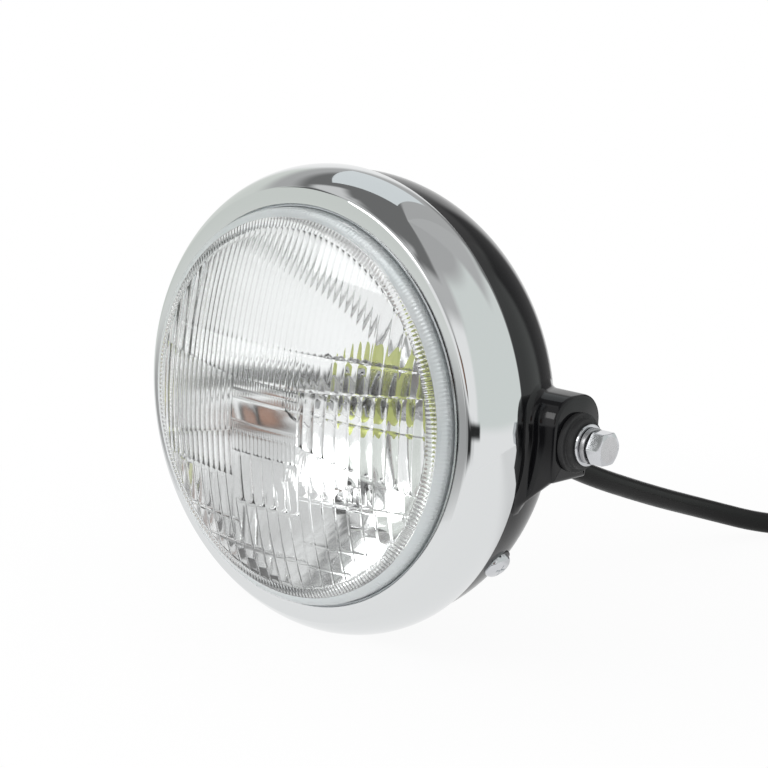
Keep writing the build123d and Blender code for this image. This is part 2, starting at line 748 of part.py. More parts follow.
# Bulb envelope: a tube closed at the tip, solid where it is pinched
bulb_tip = flange_rear - BULB_REACH
pinch = can_floor - PINCH
tube_in = GLASS_TUBE_R - GLASS_TUBE_WALL
with BuildPart() as bulb_glass:
    with BuildSketch(Plane.XY):
        with BuildLine():
            Polyline(
                (0, can_floor),
                (GLASS_TUBE_R, can_floor),
                (GLASS_TUBE_R, bulb_tip + BULB_TIP),
                (BULB_TIP_R, bulb_tip),
                (0, bulb_tip),
                (0, bulb_tip + GLASS_TUBE_WALL),
                (BULB_TIP_R - GLASS_TUBE_WALL, bulb_tip + GLASS_TUBE_WALL),
                (tube_in, bulb_tip + BULB_TIP + GLASS_TUBE_WALL),
                (tube_in, pinch),
                (0, pinch),
                close=True,
            )
        make_face()
    revolve(axis=Axis.Y)
save(bulb_glass, "bulb_glass")


def rod(start, end, radius):
    """A straight round rod between two points, added to the part being built."""
    axis = Vector(*end) - Vector(*start)
    with Locations(Plane(origin=start, z_dir=axis)):
        Cylinder(radius, axis.length, align=(Align.CENTER, Align.CENTER, Align.MIN))


# Filaments on their two supports each: dip ahead, main behind it
focus = vertex - FOCAL
dip_front = focus - DIP_AHEAD
main_front = focus + MAIN_BEHIND
with BuildPart() as bulb_filaments:
    for coil_front, spread, level in ((dip_front, DIP_SPREAD, DIP_LEVEL), (main_front, MAIN_SPREAD, 0.0)):
        coil_rear = coil_front + COIL_LENGTH
        rod((0, coil_front, level), (0, coil_rear, level), COIL_R)
        rod((-spread, pinch - SUPPORT_R / 2, level), (0, coil_front, level), SUPPORT_R)
        rod((spread, pinch - SUPPORT_R / 2, level), (0, coil_rear, level), SUPPORT_R)
save(bulb_filaments, "bulb_filaments")

# Tray under the dip filament, on its own support
shield_front = dip_front - SHIELD_AHEAD
shield_rear = shield_front + SHIELD_LENGTH
with BuildPart() as dip_shield:
    with BuildSketch(Plane.XZ.offset(-shield_front)):
        Circle(SHIELD_R)
        with Locations((0, SHIELD_R / 2)):
            Rectangle(2 * SHIELD_R, SHIELD_R, mode=Mode.SUBTRACT)
    extrude(amount=-SHIELD_LENGTH)
    with BuildSketch(Plane.XZ.offset(-shield_front - SHIELD_WALL)):
        Circle(SHIELD_R - SHIELD_WALL)
    extrude(amount=-SHIELD_LENGTH, mode=Mode.SUBTRACT)
    shield_level = -SHIELD_R + SHIELD_WALL / 2
    rod((0, shield_rear - SHIELD_AHEAD, shield_level), (0, pinch, shield_level), SUPPORT_R)
save(dip_shield, "dip_shield")

# The bulb's three blades
with BuildPart() as bulb_terminals:
    with BuildSketch(Plane.XZ.offset(-base_rear)):
        with Locations((-BLADE_OUT, 0), (BLADE_OUT, 0)):
            Rectangle(BLADE, BLADE_WIDTH)
        with Locations((0, BLADE_OUT)):
            Rectangle(BLADE_WIDTH, BLADE)
    extrude(amount=-BLADE_LENGTH)
save(bulb_terminals, "bulb_terminals")

# Socket on the blades
with BuildPart() as bulb_connector:
    with BuildSketch(Plane.XZ.offset(-socket_front)):
        RectangleRounded(SOCKET_WIDTH, SOCKET_HEIGHT, SOCKET_ROUND)
    extrude(amount=-SOCKET_LENGTH)
    with BuildSketch(Plane.XZ.offset(-socket_front)):
        with Locations((-BLADE_OUT, 0), (BLADE_OUT, 0)):
            Rectangle(BLADE + SLOT_PLAY, BLADE_WIDTH + SLOT_PLAY)
        with Locations((0, BLADE_OUT)):
            Rectangle(BLADE_WIDTH + SLOT_PLAY, BLADE + SLOT_PLAY)
    extrude(amount=-BLADE_LENGTH, mode=Mode.SUBTRACT)
save(bulb_connector, "bulb_connector")

# Wire clip that presses the flange to the collar
clip_y = flange_rear + WIRE_R + FIT / 2
clip_x = BASE_R + WIRE_OUT
clip_z = sqrt((collar_r - WIRE_MARGIN) ** 2 - clip_x**2)
with BuildPart() as bulb_spring:
    with BuildLine() as spring_route:
        Polyline(
            (-clip_x, clip_y, clip_z),
            (-clip_x, clip_y, -clip_z),
            (clip_x, clip_y, -clip_z),
            (clip_x, clip_y, clip_z),
        )
    with BuildSketch(Plane(origin=spring_route.line @ 0, z_dir=spring_route.line % 0)):
        Circle(WIRE_R)
    sweep(path=spring_route.line, transition=Transition.RIGHT)
save(bulb_spring, "bulb_spring")

# Pilot holder in its boss and the capless bulb in it
pilot_front = pilot_seat - PILOT_DEPTH
with BuildPart() as pilot_holder:
    with BuildSketch(Plane.XZ.offset(-pilot_front)):
        with Locations((0, PILOT_Z)):
            Circle(PILOT_R - 2 * FIT)
    extrude(amount=-(pilot_seat - pilot_front))
    with BuildSketch(Plane.XZ.offset(-pilot_seat)):
        with Locations((0, PILOT_Z)):
            Circle(PILOT_R + PILOT_BOSS)
    extrude(amount=-PILOT_BOSS)
save(pilot_holder, "pilot_holder")

with BuildPart() as pilot_bulb:
    with BuildSketch(Plane.XZ.offset(-pilot_front)):
        with Locations((0, PILOT_Z)):
            Circle(PILOT_GLASS_R)
    extrude(amount=PILOT_REACH)
    chamfer(pilot_bulb.faces().sort_by(Axis.Y)[0].edges(), PILOT_TIP)
save(pilot_bulb, "pilot_bulb")

# Grommet in the pad at the back
grommet_face = pad_y + GROMMET_LIP
grommet_front = bowl_station(-EXIT_Z, bucket_in_r, bowl_in) - GROMMET_TAIL
with BuildPart() as cable_grommet:
    with BuildSketch(Plane.XZ.offset(-pad_y)):
        with Locations((0, EXIT_Z)):
            Circle(GROMMET_R)
    extrude(amount=-GROMMET_LIP, taper=GROMMET_TAPER)
    with BuildSketch(Plane.XZ.offset(-pad_y)):
        with Locations((0, EXIT_Z)):
            Circle(HOLE_R - FIT)
    extrude(amount=pad_y - grommet_front)
    with BuildSketch(Plane.XZ.offset(-grommet_face)):
        with Locations((0, EXIT_Z)):
            Circle(CABLE_R + CABLE_PLAY)
    extrude(amount=grommet_face - grommet_front, mode=Mode.SUBTRACT)
save(cable_grommet, "cable_grommet")

# Leads from the socket's underside and the pilot holder to the cable's cut end
cable_start = grommet_front - CABLE_TAIL
lead_end = cable_start - FIT
socket_middle = socket_front + SOCKET_LENGTH / 2
pilot_back = pilot_seat + PILOT_BOSS + LEAD_R / 2
socket_foot = -SOCKET_HEIGHT / 2 - LEAD_R * LEAD_SINK
lead_cut = lead_end + LEAD_R
with BuildPart() as inner_wires:
    for lead_x in (-LEAD_OUT, 0.0, LEAD_OUT):
        rod((lead_x, socket_middle, socket_foot), (lead_x, lead_cut, EXIT_Z + LEAD_RISE), LEAD_R)
    for lead_x in (-PILOT_LEAD_OUT, PILOT_LEAD_OUT):
        lead_foot = (lead_x, pilot_back, PILOT_Z + PILOT_LEAD_RISE)
        rod(lead_foot, (lead_x, lead_cut, EXIT_Z - PILOT_LEAD_DROP), LEAD_R)
    split(bisect_by=Plane.XZ.offset(-lead_end), keep=Keep.TOP)
save(inner_wires, "inner_wires")

# Cable: out through the grommet, down behind the lamp and along the ground level of the rim
lying = -rim_widest + CABLE_R + CABLE_LIFT
exit_point = Vector(0, grommet_face, EXIT_Z)
route_points = [
    Vector(0, cable_start, EXIT_Z),
    exit_point + Vector(0.0, 14.0, 0.0),
    exit_point + Vector(6.0, 45.5, -11.0),
    exit_point + Vector(14.3, 72.5, -25.6),
    exit_point + Vector(18.0, 119.5, -42.4),
    exit_point + Vector(22.9, 155.5, -53.7),
    Vector(37.5, grommet_face + 190.0, lying),
    Vector(60.0, grommet_face + 216.5, lying),
    Vector(92.0, grommet_face + 234.5, lying),
    Vector(128.0, grommet_face + 240.5, lying),
]


def bend_radius(before, corner, after):
    """Radius that uses most of the shorter run beside a corner."""
    into = corner - before
    out = after - corner
    half_turn = radians(into.get_angle(out)) / 2
    return BEND_SHARE * min(into.length, out.length) / tan(half_turn)


bends = [bend_radius(*route_points[k - 1 : k + 2]) for k in range(1, len(route_points) - 1)]
print("cable bend radii", [round(r, 1) for r in bends])
with BuildPart() as cable_sleeve:
    with BuildLine() as cable_route:
        FilletPolyline(*route_points, radius=bends)
    with BuildSketch(Plane(origin=cable_route.line @ 0, z_dir=cable_route.line % 0)):
        Circle(CABLE_R)
    sweep(path=cable_route.line)
cable_length = cable_route.wires()[0].length
print("cable length", round(cable_length, 1))
cable_fill = cable_sleeve.part.volume / (cable_length * pi * CABLE_R**2)
print("cable volume against section by length", round(cable_fill, 4))
save(cable_sleeve, "cable_sleeve")

# Plug on the cable's end, lying on the ground level
plug_rise = PLUG_HEIGHT / 2 - CABLE_R
plug_plane = Plane(origin=cable_route.line @ 1, x_dir=(0, 0, 1), z_dir=cable_route.line % 1)
pin_places = [(plug_rise + PIN_ROW * row, PIN_COLUMN * column) for row in (-1, 1) for column in (-1, 1)]
with BuildPart() as end_connector:
    with BuildSketch(plug_plane):
        with Locations((plug_rise, 0)):
            RectangleRounded(PLUG_HEIGHT, PLUG_WIDTH, PLUG_ROUND)
    extrude(amount=PLUG_LENGTH)
    with BuildSketch(plug_plane.offset(LATCH_FROM)):
        with Locations((plug_rise + PLUG_HEIGHT / 2, 0)):
            Rectangle(2 * LATCH_RISE, LATCH_WIDTH)
    extrude(amount=LATCH_LENGTH)
    with BuildSketch(plug_plane.offset(CAVITY_FROM)):
        with Locations(*pin_places):
            Rectangle(CAVITY_HEIGHT, CAVITY_WIDTH)
    extrude(amount=PLUG_LENGTH - CAVITY_FROM, mode=Mode.SUBTRACT)
save(end_connector, "end_connector")

with BuildPart() as connector_pins:
    with BuildSketch(plug_plane.offset(CAVITY_FROM)):
        with Locations(*pin_places):
            Rectangle(PIN, PIN_WIDTH)
    extrude(amount=PIN_LENGTH)
save(connector_pins, "connector_pins")
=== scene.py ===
# %% [markdown]
# # A round motorcycle headlight
# A chromed rim round a fluted glass, with a black bucket and a cable behind it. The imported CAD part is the
# frame of this scene. Its meshes could be rendered as they are, but they have no finish. So the pieces that
# show are built again here in the same places, with finer forms and real materials. The lamp's sizes are in
# millimetres, and `new_piece` turns them into metres.

# %% The frame
import json
import math

import bmesh
import bpy
import numpy as np
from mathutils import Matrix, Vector


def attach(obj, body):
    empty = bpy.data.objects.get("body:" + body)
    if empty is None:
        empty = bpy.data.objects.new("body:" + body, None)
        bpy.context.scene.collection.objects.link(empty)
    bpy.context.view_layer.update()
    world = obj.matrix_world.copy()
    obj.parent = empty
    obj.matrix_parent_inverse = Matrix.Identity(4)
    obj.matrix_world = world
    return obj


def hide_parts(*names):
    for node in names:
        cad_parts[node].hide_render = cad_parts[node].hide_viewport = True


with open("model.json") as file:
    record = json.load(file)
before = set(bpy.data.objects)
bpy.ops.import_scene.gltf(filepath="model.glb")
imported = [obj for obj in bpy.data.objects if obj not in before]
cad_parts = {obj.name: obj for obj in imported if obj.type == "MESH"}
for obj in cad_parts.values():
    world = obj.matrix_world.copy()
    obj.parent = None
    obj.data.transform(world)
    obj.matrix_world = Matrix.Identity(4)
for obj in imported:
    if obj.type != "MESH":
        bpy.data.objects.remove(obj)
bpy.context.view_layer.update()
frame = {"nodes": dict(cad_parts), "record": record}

scene = bpy.context.scene
MM = 0.001

# %% [markdown]
# ## The camera
# A long lens sees the lamp from its front right, a little from above. A Track To constraint could aim it, but
# would leave out the camera's small roll. So its three axes are written as the columns of its matrix.

# %% The camera
CAMERA_PLACE = Vector((609.86, -673.74, 197.04)) * MM
CAMERA_RIGHT = Vector((0.7375, 0.6739, 0.0451))
CAMERA_UP = Vector((-0.1728, 0.1237, 0.9772))
CAMERA_BACK = Vector((0.6529, -0.7284, 0.2077))
FOCAL_LENGTH = 108.61
SENSOR_WIDTH = 36.0
camera_data = bpy.data.cameras.new("camera")
camera_data.lens = FOCAL_LENGTH
camera_data.sensor_width = SENSOR_WIDTH
camera = bpy.data.objects.new("camera", camera_data)
turn = camera.matrix_world.to_3x3()
for column, axis in enumerate((CAMERA_RIGHT, CAMERA_UP, CAMERA_BACK)):
    turn.col[column] = axis
camera.matrix_world = turn.to_4x4()
camera.location = CAMERA_PLACE
scene.collection.objects.link(camera)
scene.camera = camera
print("camera at", [round(v, 3) for v in CAMERA_PLACE])

# %% [markdown]
# ## Making pieces
# `new_piece` welds points and faces into a mesh, turns the faces outwards, shades them smooth with the sharp
# edges kept, and lets the piece ride on the part's one body. `quads` makes the faces between neighbouring
# lines of points. `rounded` softens the corners of a section, as no pressed or moulded edge is quite sharp. A
# Bevel modifier could do that, but a rounded section keeps its radius by name.

# %% Making pieces
WELD = 1e-6  # metres within which two points are one
CORNER_SHARE = 0.48  # the most of a run that one rounded corner takes


def new_piece(name, points, faces, sharp=32.0):
    """A mesh given in millimetres, as a smooth-shaded piece in metres."""
    mesh = bpy.data.meshes.new(name)
    mesh.from_pydata([Vector(p) * MM for p in points], [], faces)
    work = bmesh.new()
    work.from_mesh(mesh)
    bmesh.ops.remove_doubles(work, verts=work.verts, dist=WELD)
    bmesh.ops.recalc_face_normals(work, faces=work.faces)
    work.to_mesh(mesh)
    work.free()
    mesh.polygons.foreach_set("use_smooth", [True] * len(mesh.polygons))
    mesh.set_sharp_from_angle(angle=math.radians(sharp))
    piece = bpy.data.objects.new(name, mesh)
    scene.collection.objects.link(piece)
    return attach(piece, "root")


def quads(lines, count, round_lines=True, round_points=False):
    """Faces between neighbouring lines of `count` points, closed round either way."""
    faces = []
    for i in range(lines if round_lines else lines - 1):
        here, there = i * count, (i + 1) % lines * count
        for j in range(count if round_points else count - 1):
            after = (j + 1) % count
            faces.append((here + j, here + after, there + after, there + j))
    return faces


def rounded(corners, radius, steps=4):
    """A profile with its inner corners rounded to one radius, as far as its runs allow."""
    out = [corners[0]]
    for before, corner, after in zip(corners, corners[1:], corners[2:]):
        b, c, a = (np.array(p, float) for p in (before, corner, after))
        back, on = np.linalg.norm(b - c), np.linalg.norm(a - c)
        to_b, to_a = (b - c) / back, (a - c) / on
        half = math.acos(np.clip(to_b @ to_a, -1, 1)) / 2
        reach = min(radius / math.tan(half), CORNER_SHARE * back, CORNER_SHARE * on)
        start, end = c + to_b * reach, c + to_a * reach
        for k in range(steps + 1):
            t = k / steps
            out.append(tuple((1 - t) ** 2 * start + 2 * t * (1 - t) * c + t * t * end))
    return out + [corners[-1]]


print("corners take at most", CORNER_SHARE, "of a run")

# %% [markdown]
# ## Turning profiles
# Nearly all of this lamp is round: pressed, spun or turned. Primitives with modifiers could do, but a section
# turned round an axis is nearer to how the real pieces are made, and keeps each radius and step by name.


# %% Turning profiles
def turned(profile, steps, axis=(0, 1, 0), origin=(0, 0, 0), closed=True):
    """Points and faces of a (radius, station) profile turned round an axis."""
    axis = np.array(axis, float) / np.linalg.norm(axis)
    side = np.cross(axis, (0, 0, 1.0))
    side /= np.linalg.norm(side)
    other = np.cross(side, axis)
    points = []
    for k in range(steps):
        angle = 2 * math.pi * k / steps
        out = math.cos(angle) * side + math.sin(angle) * other
        points += [tuple(np.array(origin) + r * out + s * axis) for r, s in profile]
    return points, quads(steps, len(profile), round_points=closed)


def lathe(name, profile, steps=96, **where):
    """A piece turned from a profile."""
    return new_piece(name, *turned(profile, steps, **where))


def arc(centre, radius, start, end, steps):
    """Points along an arc, angles in degrees."""
    angles = np.radians(np.linspace(start, end, steps + 1))
    return [(centre[0] + radius * math.cos(a), centre[1] + radius * math.sin(a)) for a in angles]


print("a quarter arc in 4 steps has", len(arc((0, 0), 1, 0, 90, 4)), "points")

# %% [markdown]
# ## How a finish is made
# No real surface has one even colour or gloss. A finish is a Principled shader with its even values set on its
# own sockets. Noise then lets its roughness or tint drift, or lifts a fine grain. Image textures would need
# files and unwrapped meshes, and noise in the part's own metres needs neither.

# %% How a finish is made
RAMP_FROM, RAMP_TO = 0.32, 0.68  # where most values of the noise lie
NOISE_DETAIL = 3.0


def material(name, colour, roughness, metallic=0.0, drift=None, tint=None, grain=None, **values):
    """A Principled material: even values, a drift of its roughness or tint, and a grain."""
    made = bpy.data.materials.new(name)
    made.use_nodes = True
    shader = made.node_tree.nodes["Principled BSDF"]
    shader.inputs["Base Color"].default_value = (*colour, 1.0)
    shader.inputs["Roughness"].default_value = roughness
    shader.inputs["Metallic"].default_value = metallic
    for socket, value in values.items():
        shader.inputs[socket.replace("_", " ")].default_value = value
    if drift:
        vary(made, "Roughness", *drift)
    if tint:
        vary(made, "Base Color", *tint)
    if grain:
        bump(made, *grain)
    return made


def noise(made, scale):
    """A noise in the part's own metres."""
    nodes, links = made.node_tree.nodes, made.node_tree.links
    place = nodes.new("ShaderNodeTexCoord")
    grain = nodes.new("ShaderNodeTexNoise")
    grain.inputs["Scale"].default_value = scale
    grain.inputs["Detail"].default_value = NOISE_DETAIL
    links.new(place.outputs["Object"], grain.inputs["Vector"])
    return grain


def vary(made, socket, low, high, scale):
    """A socket that drifts between two values or two colours."""
    nodes, links = made.node_tree.nodes, made.node_tree.links
    ramp = nodes.new("ShaderNodeValToRGB")
    elements = ramp.color_ramp.elements
    elements[0].position, elements[1].position = RAMP_FROM, RAMP_TO
    for element, value in zip(elements, (low, high)):
        colour = value if hasattr(value, "__len__") else (value, value, value)
        element.color = (*colour, 1.0)
    links.new(noise(made, scale).outputs["Fac"], ramp.inputs["Fac"])
    links.new(ramp.outputs["Color"], nodes["Principled BSDF"].inputs[socket])


def bump(made, scale, height, strength):
    """A fine unevenness, height in millimetres."""
    nodes, links = made.node_tree.nodes, made.node_tree.links
    relief = nodes.new("ShaderNodeBump")
    relief.inputs["Strength"].default_value = strength
    relief.inputs["Distance"].default_value = height * MM
    links.new(noise(made, scale).outputs["Fac"], relief.inputs["Height"])
    links.new(relief.outputs["Normal"], nodes["Principled BSDF"].inputs["Normal"])


print("noise is used between", RAMP_FROM, "and", RAMP_TO)

# %% [markdown]
# ## Bright metals
# The rim is mirror chrome, whose only life is a faint waviness from polishing. The bolts are zinc plated and a
# little duller. The end of a bolt's head keeps the circles of its turning, which could be cut as grooves.
# They are far too fine for that, so an anisotropic gloss with a radial tangent draws the same fan of light.

# %% Bright metals
# A drift or tint is (low, high, scale of the noise), and a grain is (scale, height, strength)
chrome = material(
    "chrome", (0.71, 0.725, 0.73), 0.03, 1.0,
    drift=(0.02, 0.06, 45.0), grain=(18.0, 0.02, 0.25),
)
zinc = material(
    "bolt_zinc", (0.60, 0.61, 0.63), 0.08, 1.0,
    drift=(0.06, 0.13, 420.0), grain=(400.0, 0.006, 0.2),
)
turned_zinc = material(
    "turned_zinc", (0.58, 0.58, 0.59), 0.24, 1.0,
    drift=(0.2, 0.3, 500.0), Anisotropic=0.85,
)
turned_nodes = turned_zinc.node_tree.nodes
round_marks = turned_nodes.new("ShaderNodeTangent")
round_marks.direction_type = "RADIAL"
round_marks.axis = "X"
turned_shader = turned_nodes["Principled BSDF"]
turned_zinc.node_tree.links.new(round_marks.outputs["Tangent"], turned_shader.inputs["Tangent"])
spring_steel = material("spring_steel", (0.42, 0.42, 0.43), 0.35, 1.0, drift=(0.28, 0.45, 300.0))
print("bright metals: chrome, zinc, turned zinc, spring steel")

# %% [markdown]
# ## Glass, reflector and bulb
# Light goes in through the glass, is thrown back by the metallised bowl and comes out again, so these finishes
# make the lamp's face. The glass could be faked by a mix with transparency, but only a true refraction shows
# what its ribs do to the bowl behind. The bulb's flange is passivated, which leaves a yellow-green tint.

# %% Glass, reflector and bulb
lens_glass = material(
    "lens_glass", (0.985, 0.995, 0.995), 0.0, 0.0,
    drift=(0.0, 0.015, 60.0), IOR=1.5, Transmission_Weight=1.0,
)
mirror = material(
    "reflector", (0.96, 0.96, 0.96), 0.05, 1.0,
    drift=(0.03, 0.08, 30.0), grain=(30.0, 0.03, 0.3),
)
metallised = material(
    "metallised", (0.94, 0.985, 0.99), 0.38, 0.3,
    tint=((0.92, 0.975, 0.985), (0.955, 0.99, 1.0), 60.0),
)
silicone = material(
    "silicone", (0.78, 0.83, 0.85), 0.45,
    tint=((0.74, 0.79, 0.81), (0.82, 0.86, 0.88), 90.0),
)
passivated = material(
    "passivated", (0.86, 0.92, 0.32), 0.32, 0.4,
    tint=((0.82, 0.90, 0.28), (0.90, 0.94, 0.38), 120.0),
)
bulb_glass = material(
    "bulb_glass", (0.98, 0.98, 0.98), 0.0, 0.0,
    drift=(0.0, 0.02, 80.0), IOR=1.47, Transmission_Weight=1.0,
)
bulb_metal = material("bulb_metal", (0.55, 0.55, 0.56), 0.3, 1.0, drift=(0.22, 0.4, 300.0))
tungsten = material("tungsten", (0.35, 0.35, 0.37), 0.4, 1.0, drift=(0.3, 0.5, 900.0))
brass = material("brass", (0.62, 0.46, 0.2), 0.3, 1.0, drift=(0.25, 0.4, 300.0))
print("finishes of the face:", lens_glass.name, mirror.name, metallised.name, passivated.name)

# %% [markdown]
# ## Black and white mouldings
# The bucket is a gloss black moulding, the bushes and the grommet are matt rubber, and the cable has a satin
# sleeve. Black pieces are told apart by their gloss alone, so the roughness of each has its own range, and the
# coarser ones have a grain.

# %% Black and white mouldings
enamel = material(
    "bucket", (0.006, 0.006, 0.007), 0.08, 0.0,
    drift=(0.06, 0.13, 40.0), grain=(260.0, 0.008, 0.25), IOR=1.42,
)
rubber = material("rubber", (0.018, 0.018, 0.019), 0.6, drift=(0.5, 0.75, 220.0), grain=(800.0, 0.03, 0.4))
black_plastic = material(
    "black_plastic", (0.02, 0.02, 0.021), 0.42,
    drift=(0.36, 0.55, 260.0), grain=(1200.0, 0.02, 0.3),
)
white_plastic = material("white_plastic", (0.72, 0.71, 0.68), 0.45, drift=(0.4, 0.55, 200.0))
cable_skin = material(
    "cable", (0.004, 0.004, 0.004), 0.3,
    drift=(0.24, 0.38, 160.0), grain=(500.0, 0.02, 0.25), Specular_IOR_Level=0.25,
)
wire_skin = material("wire", (0.03, 0.03, 0.032), 0.45, tint=((0.02, 0.02, 0.02), (0.05, 0.05, 0.05), 200.0))
print("mouldings: bucket, rubber, black and white plastic, cable, wire")

# %% [markdown]
# ## Finishes by their slots
# The part's record names a slot for each finish, so that a later user can swap finishes by name. The materials'
# own names could serve for that, but Blender adds a number to a name that is in use, as these are by the CAD
# part. So the slots are listed. `finish` gives a piece the material of its slot and hides the CAD nodes it
# stands for.

# %% Finishes by their slots
FINISH = {
    "chrome": chrome,
    "bolt_zinc": zinc,
    "spring_steel": spring_steel,
    "lens_glass": lens_glass,
    "reflector": mirror,
    "passivated": passivated,
    "bulb_glass": bulb_glass,
    "bulb_metal": bulb_metal,
    "tungsten": tungsten,
    "brass": brass,
    "bucket": enamel,
    "rubber": rubber,
    "black_plastic": black_plastic,
    "white_plastic": white_plastic,
    "cable": cable_skin,
    "wire": wire_skin,
}


def finish(piece, slot, *nodes):
    """Gives the piece the material of a record slot, and hides the CAD nodes that it stands for."""
    piece.data.materials.clear()
    piece.data.materials.append(FINISH[slot])
    if nodes:
        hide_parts(*nodes)
    return piece


print("slots:", ", ".join(sorted(FINISH)))

# %% [markdown]
# ## The cable
# A black sleeved cable leaves the grommet straight back, sags to the floor and turns towards its plug. It could
# be a mesh swept along sampled points. One NURBS curve with a round bevel stays smooth from a few control
# points, and its route can still be pulled about later.

# %% The cable
ROUTE = [
    (0.0, 39.612, -24.0),
    (0.0, 65.84, -24.0),
    (6.0, 97.34, -35.0),
    (14.3, 124.34, -49.6),
    (18.0, 171.34, -66.4),
    (22.9, 207.34, -77.7),
    (37.5, 241.84, -88.578),
    (60.0, 268.34, -88.578),
    (92.0, 286.34, -88.578),
    (128.0, 292.34, -88.578),
]
CABLE_R = 4.75
cable_curve = bpy.data.curves.new("cable", "CURVE")
cable_curve.dimensions = "3D"
run = cable_curve.splines.new("NURBS")
run.points.add(len(ROUTE) - 1)
for knot, place in zip(run.points, ROUTE):
    knot.co = (*(v * MM for v in place), 1.0)
    knot.radius = CABLE_R * MM
run.order_u = 3
run.use_endpoint_u = True
run.resolution_u = 16
cable_curve.bevel_depth = 1.0
cable_curve.bevel_resolution = 8
cable = bpy.data.objects.new("cable", cable_curve)
scene.collection.objects.link(cable)
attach(cable, "root")
finish(cable, "cable", "cable_sleeve")
print("cable of", len(ROUTE), "points")

# %% [markdown]
# ## The chrome rim
# The rim is one drawn sheet: a flat bezel, a tight crest, a band that flares back on a long arc, and a rolled
# rear edge. It could be a single skin with a Solidify modifier. The section is drawn with both its sides
# instead, because the sheet's edges then have their own roundings.

# %% The chrome rim
FRONT = -41.0
OPENING_R = 78.7
OPENING_EDGE = 0.35
CREST_R = 84.0
CREST_ROUND = 2.5
CREST_TURN = 44.0
BAND_CENTRE = (68.239, -22.179)
BAND_R = 25.16
OUTER_STOP, INNER_STOP = 2.2, 3.0  # degrees before the rear edge at which the band's two sides end
RIM_REAR = -18.8
RIM_WALL = 1.0
HEM_R = 91.4
HEM_CENTRE_R = 92.6
HEM_ROUND = 0.55
band_from = -90.0 + CREST_TURN
band_to = math.degrees(math.asin((RIM_REAR - BAND_CENTRE[1]) / BAND_R))
rim_profile = [
    (OPENING_R, FRONT + RIM_WALL),
    (OPENING_R, FRONT + OPENING_EDGE),
    (OPENING_R + OPENING_EDGE, FRONT),
    *arc((CREST_R, FRONT + CREST_ROUND), CREST_ROUND, -90, band_from, 8),
    *arc(BAND_CENTRE, BAND_R, band_from, band_to - OUTER_STOP, 40)[1:],
    *arc((HEM_CENTRE_R, RIM_REAR - HEM_ROUND), HEM_ROUND, 0, 90, 4),
    (HEM_R, RIM_REAR),
    (HEM_R, RIM_REAR - RIM_WALL),
    *arc(BAND_CENTRE, BAND_R - RIM_WALL, band_to - INNER_STOP, band_from, 24),
    (CREST_R, FRONT + RIM_WALL),
]
rim = lathe("rim", rim_profile, 256)
finish(rim, "chrome", "chrome_rim")
print("rim faces:", len(rim.data.polygons))

# %% [markdown]
# ## The glass: its blocks
# The glass is pressed: smooth outside, and ribbed inside in blocks that spread the beam. The ribs could be a
# bump in the material, but then nothing behind them would bend. They are true geometry, a grid of points with
# a height at each. First come the step lines that part the blocks. A middle column has its own lines, and
# the lines of the two sides run up and down towards the border.

# %% The glass: its blocks
DOME_Y = 119.9026
DOME_R = 184.1026
INNER_R = 180.1026
FLUTE_R = 69.5
CENTRE_HALF = 17.5
CENTRE_LINES = [25.6, 11.5, 7.7, 4.1, -5.9, -9.4, -17.3, -37.3, -56.6]
SIDE_TOP, SIDE_RISE = 11.5, 4.5
SIDE_FOOT, SIDE_DROP = -9.4, 12.6
SIDE_SHARES = (0.36, 0.5, 0.75)
LEFT_STEPS, RIGHT_STEPS = (-28.0, -47.0), (-29.0, -48.0)
PANE_TALL = 9.6


def inner_dome(x, z):
    """Station of the plain inside of the dome."""
    return DOME_Y - np.sqrt(INNER_R**2 - x * x - z * z)


def levels(x):
    """Step lines across one column, from the top of the fluted disc to its foot."""
    top = math.sqrt(max(FLUTE_R**2 - x * x, 0.0))
    lines = CENTRE_LINES
    if abs(x) >= CENTRE_HALF:
        out = (abs(x) - CENTRE_HALF) / (FLUTE_R - CENTRE_HALF)
        upper, lower = SIDE_TOP + SIDE_RISE * out, SIDE_FOOT - SIDE_DROP * out
        between_them = [upper - (upper - lower) * share for share in SIDE_SHARES]
        step, pane = LEFT_STEPS if x < 0 else RIGHT_STEPS
        lines = [CENTRE_LINES[0], upper, *between_them, lower, step, pane, pane - PANE_TALL]
    return [min(max(z, -top), top) for z in (top, *lines, -top)]


print("step lines in the middle column:", [round(z, 1) for z in levels(0.0)])

# %% [markdown]
# ## The glass: its ribs
# Each block has its own pitch and height of rib, and the low panes have fine lines between flat ribs. A plain
# row of arcs would meet in sharp valleys, where the view through the glass breaks off. Pressed glass has
# rounded valleys, so here a small counter curve carries on the arc of each rib.

# %% The glass: its ribs
# Pitch and height of a block's ribs, and the height of the line between two of them
UPPER_FINE, UPPER_WIDE = (2.9, 0.18, 0.0), (5.2, 0.42, 0.0)
CLEAR_WINDOW = (5.8, 0.0, 0.0)
CENTRE_PANE = (5.8, 0.06, 0.18)
CENTRE_RIBS = {2: (1.4, 0.11, 0.0), 3: (1.4, 0.11, 0.0), 4: CLEAR_WINDOW, 5: (1.2, 0.09, 0.0),
               6: (2.1, 0.16, 0.0), 7: (5.8, 0.36, 0.0), 8: CENTRE_PANE, 9: CENTRE_PANE}
LEFT_WING, RIGHT_WING = (3.4, 0.22, 0.0), (5.0, 0.5, 0.0)
LEFT_LOWER, RIGHT_LOWER = (3.6, 0.26, 0.0), (5.6, 0.3, 0.12)
SIDE_PANE = (5.6, 0.07, 0.18)
BORDER_X, RIGHT_X = 46.0, 26.0  # where the upper field turns to wide ribs
VALLEY = 0.42  # share of the pitch at which the rib's arc ends
LINE_HALF = 0.45


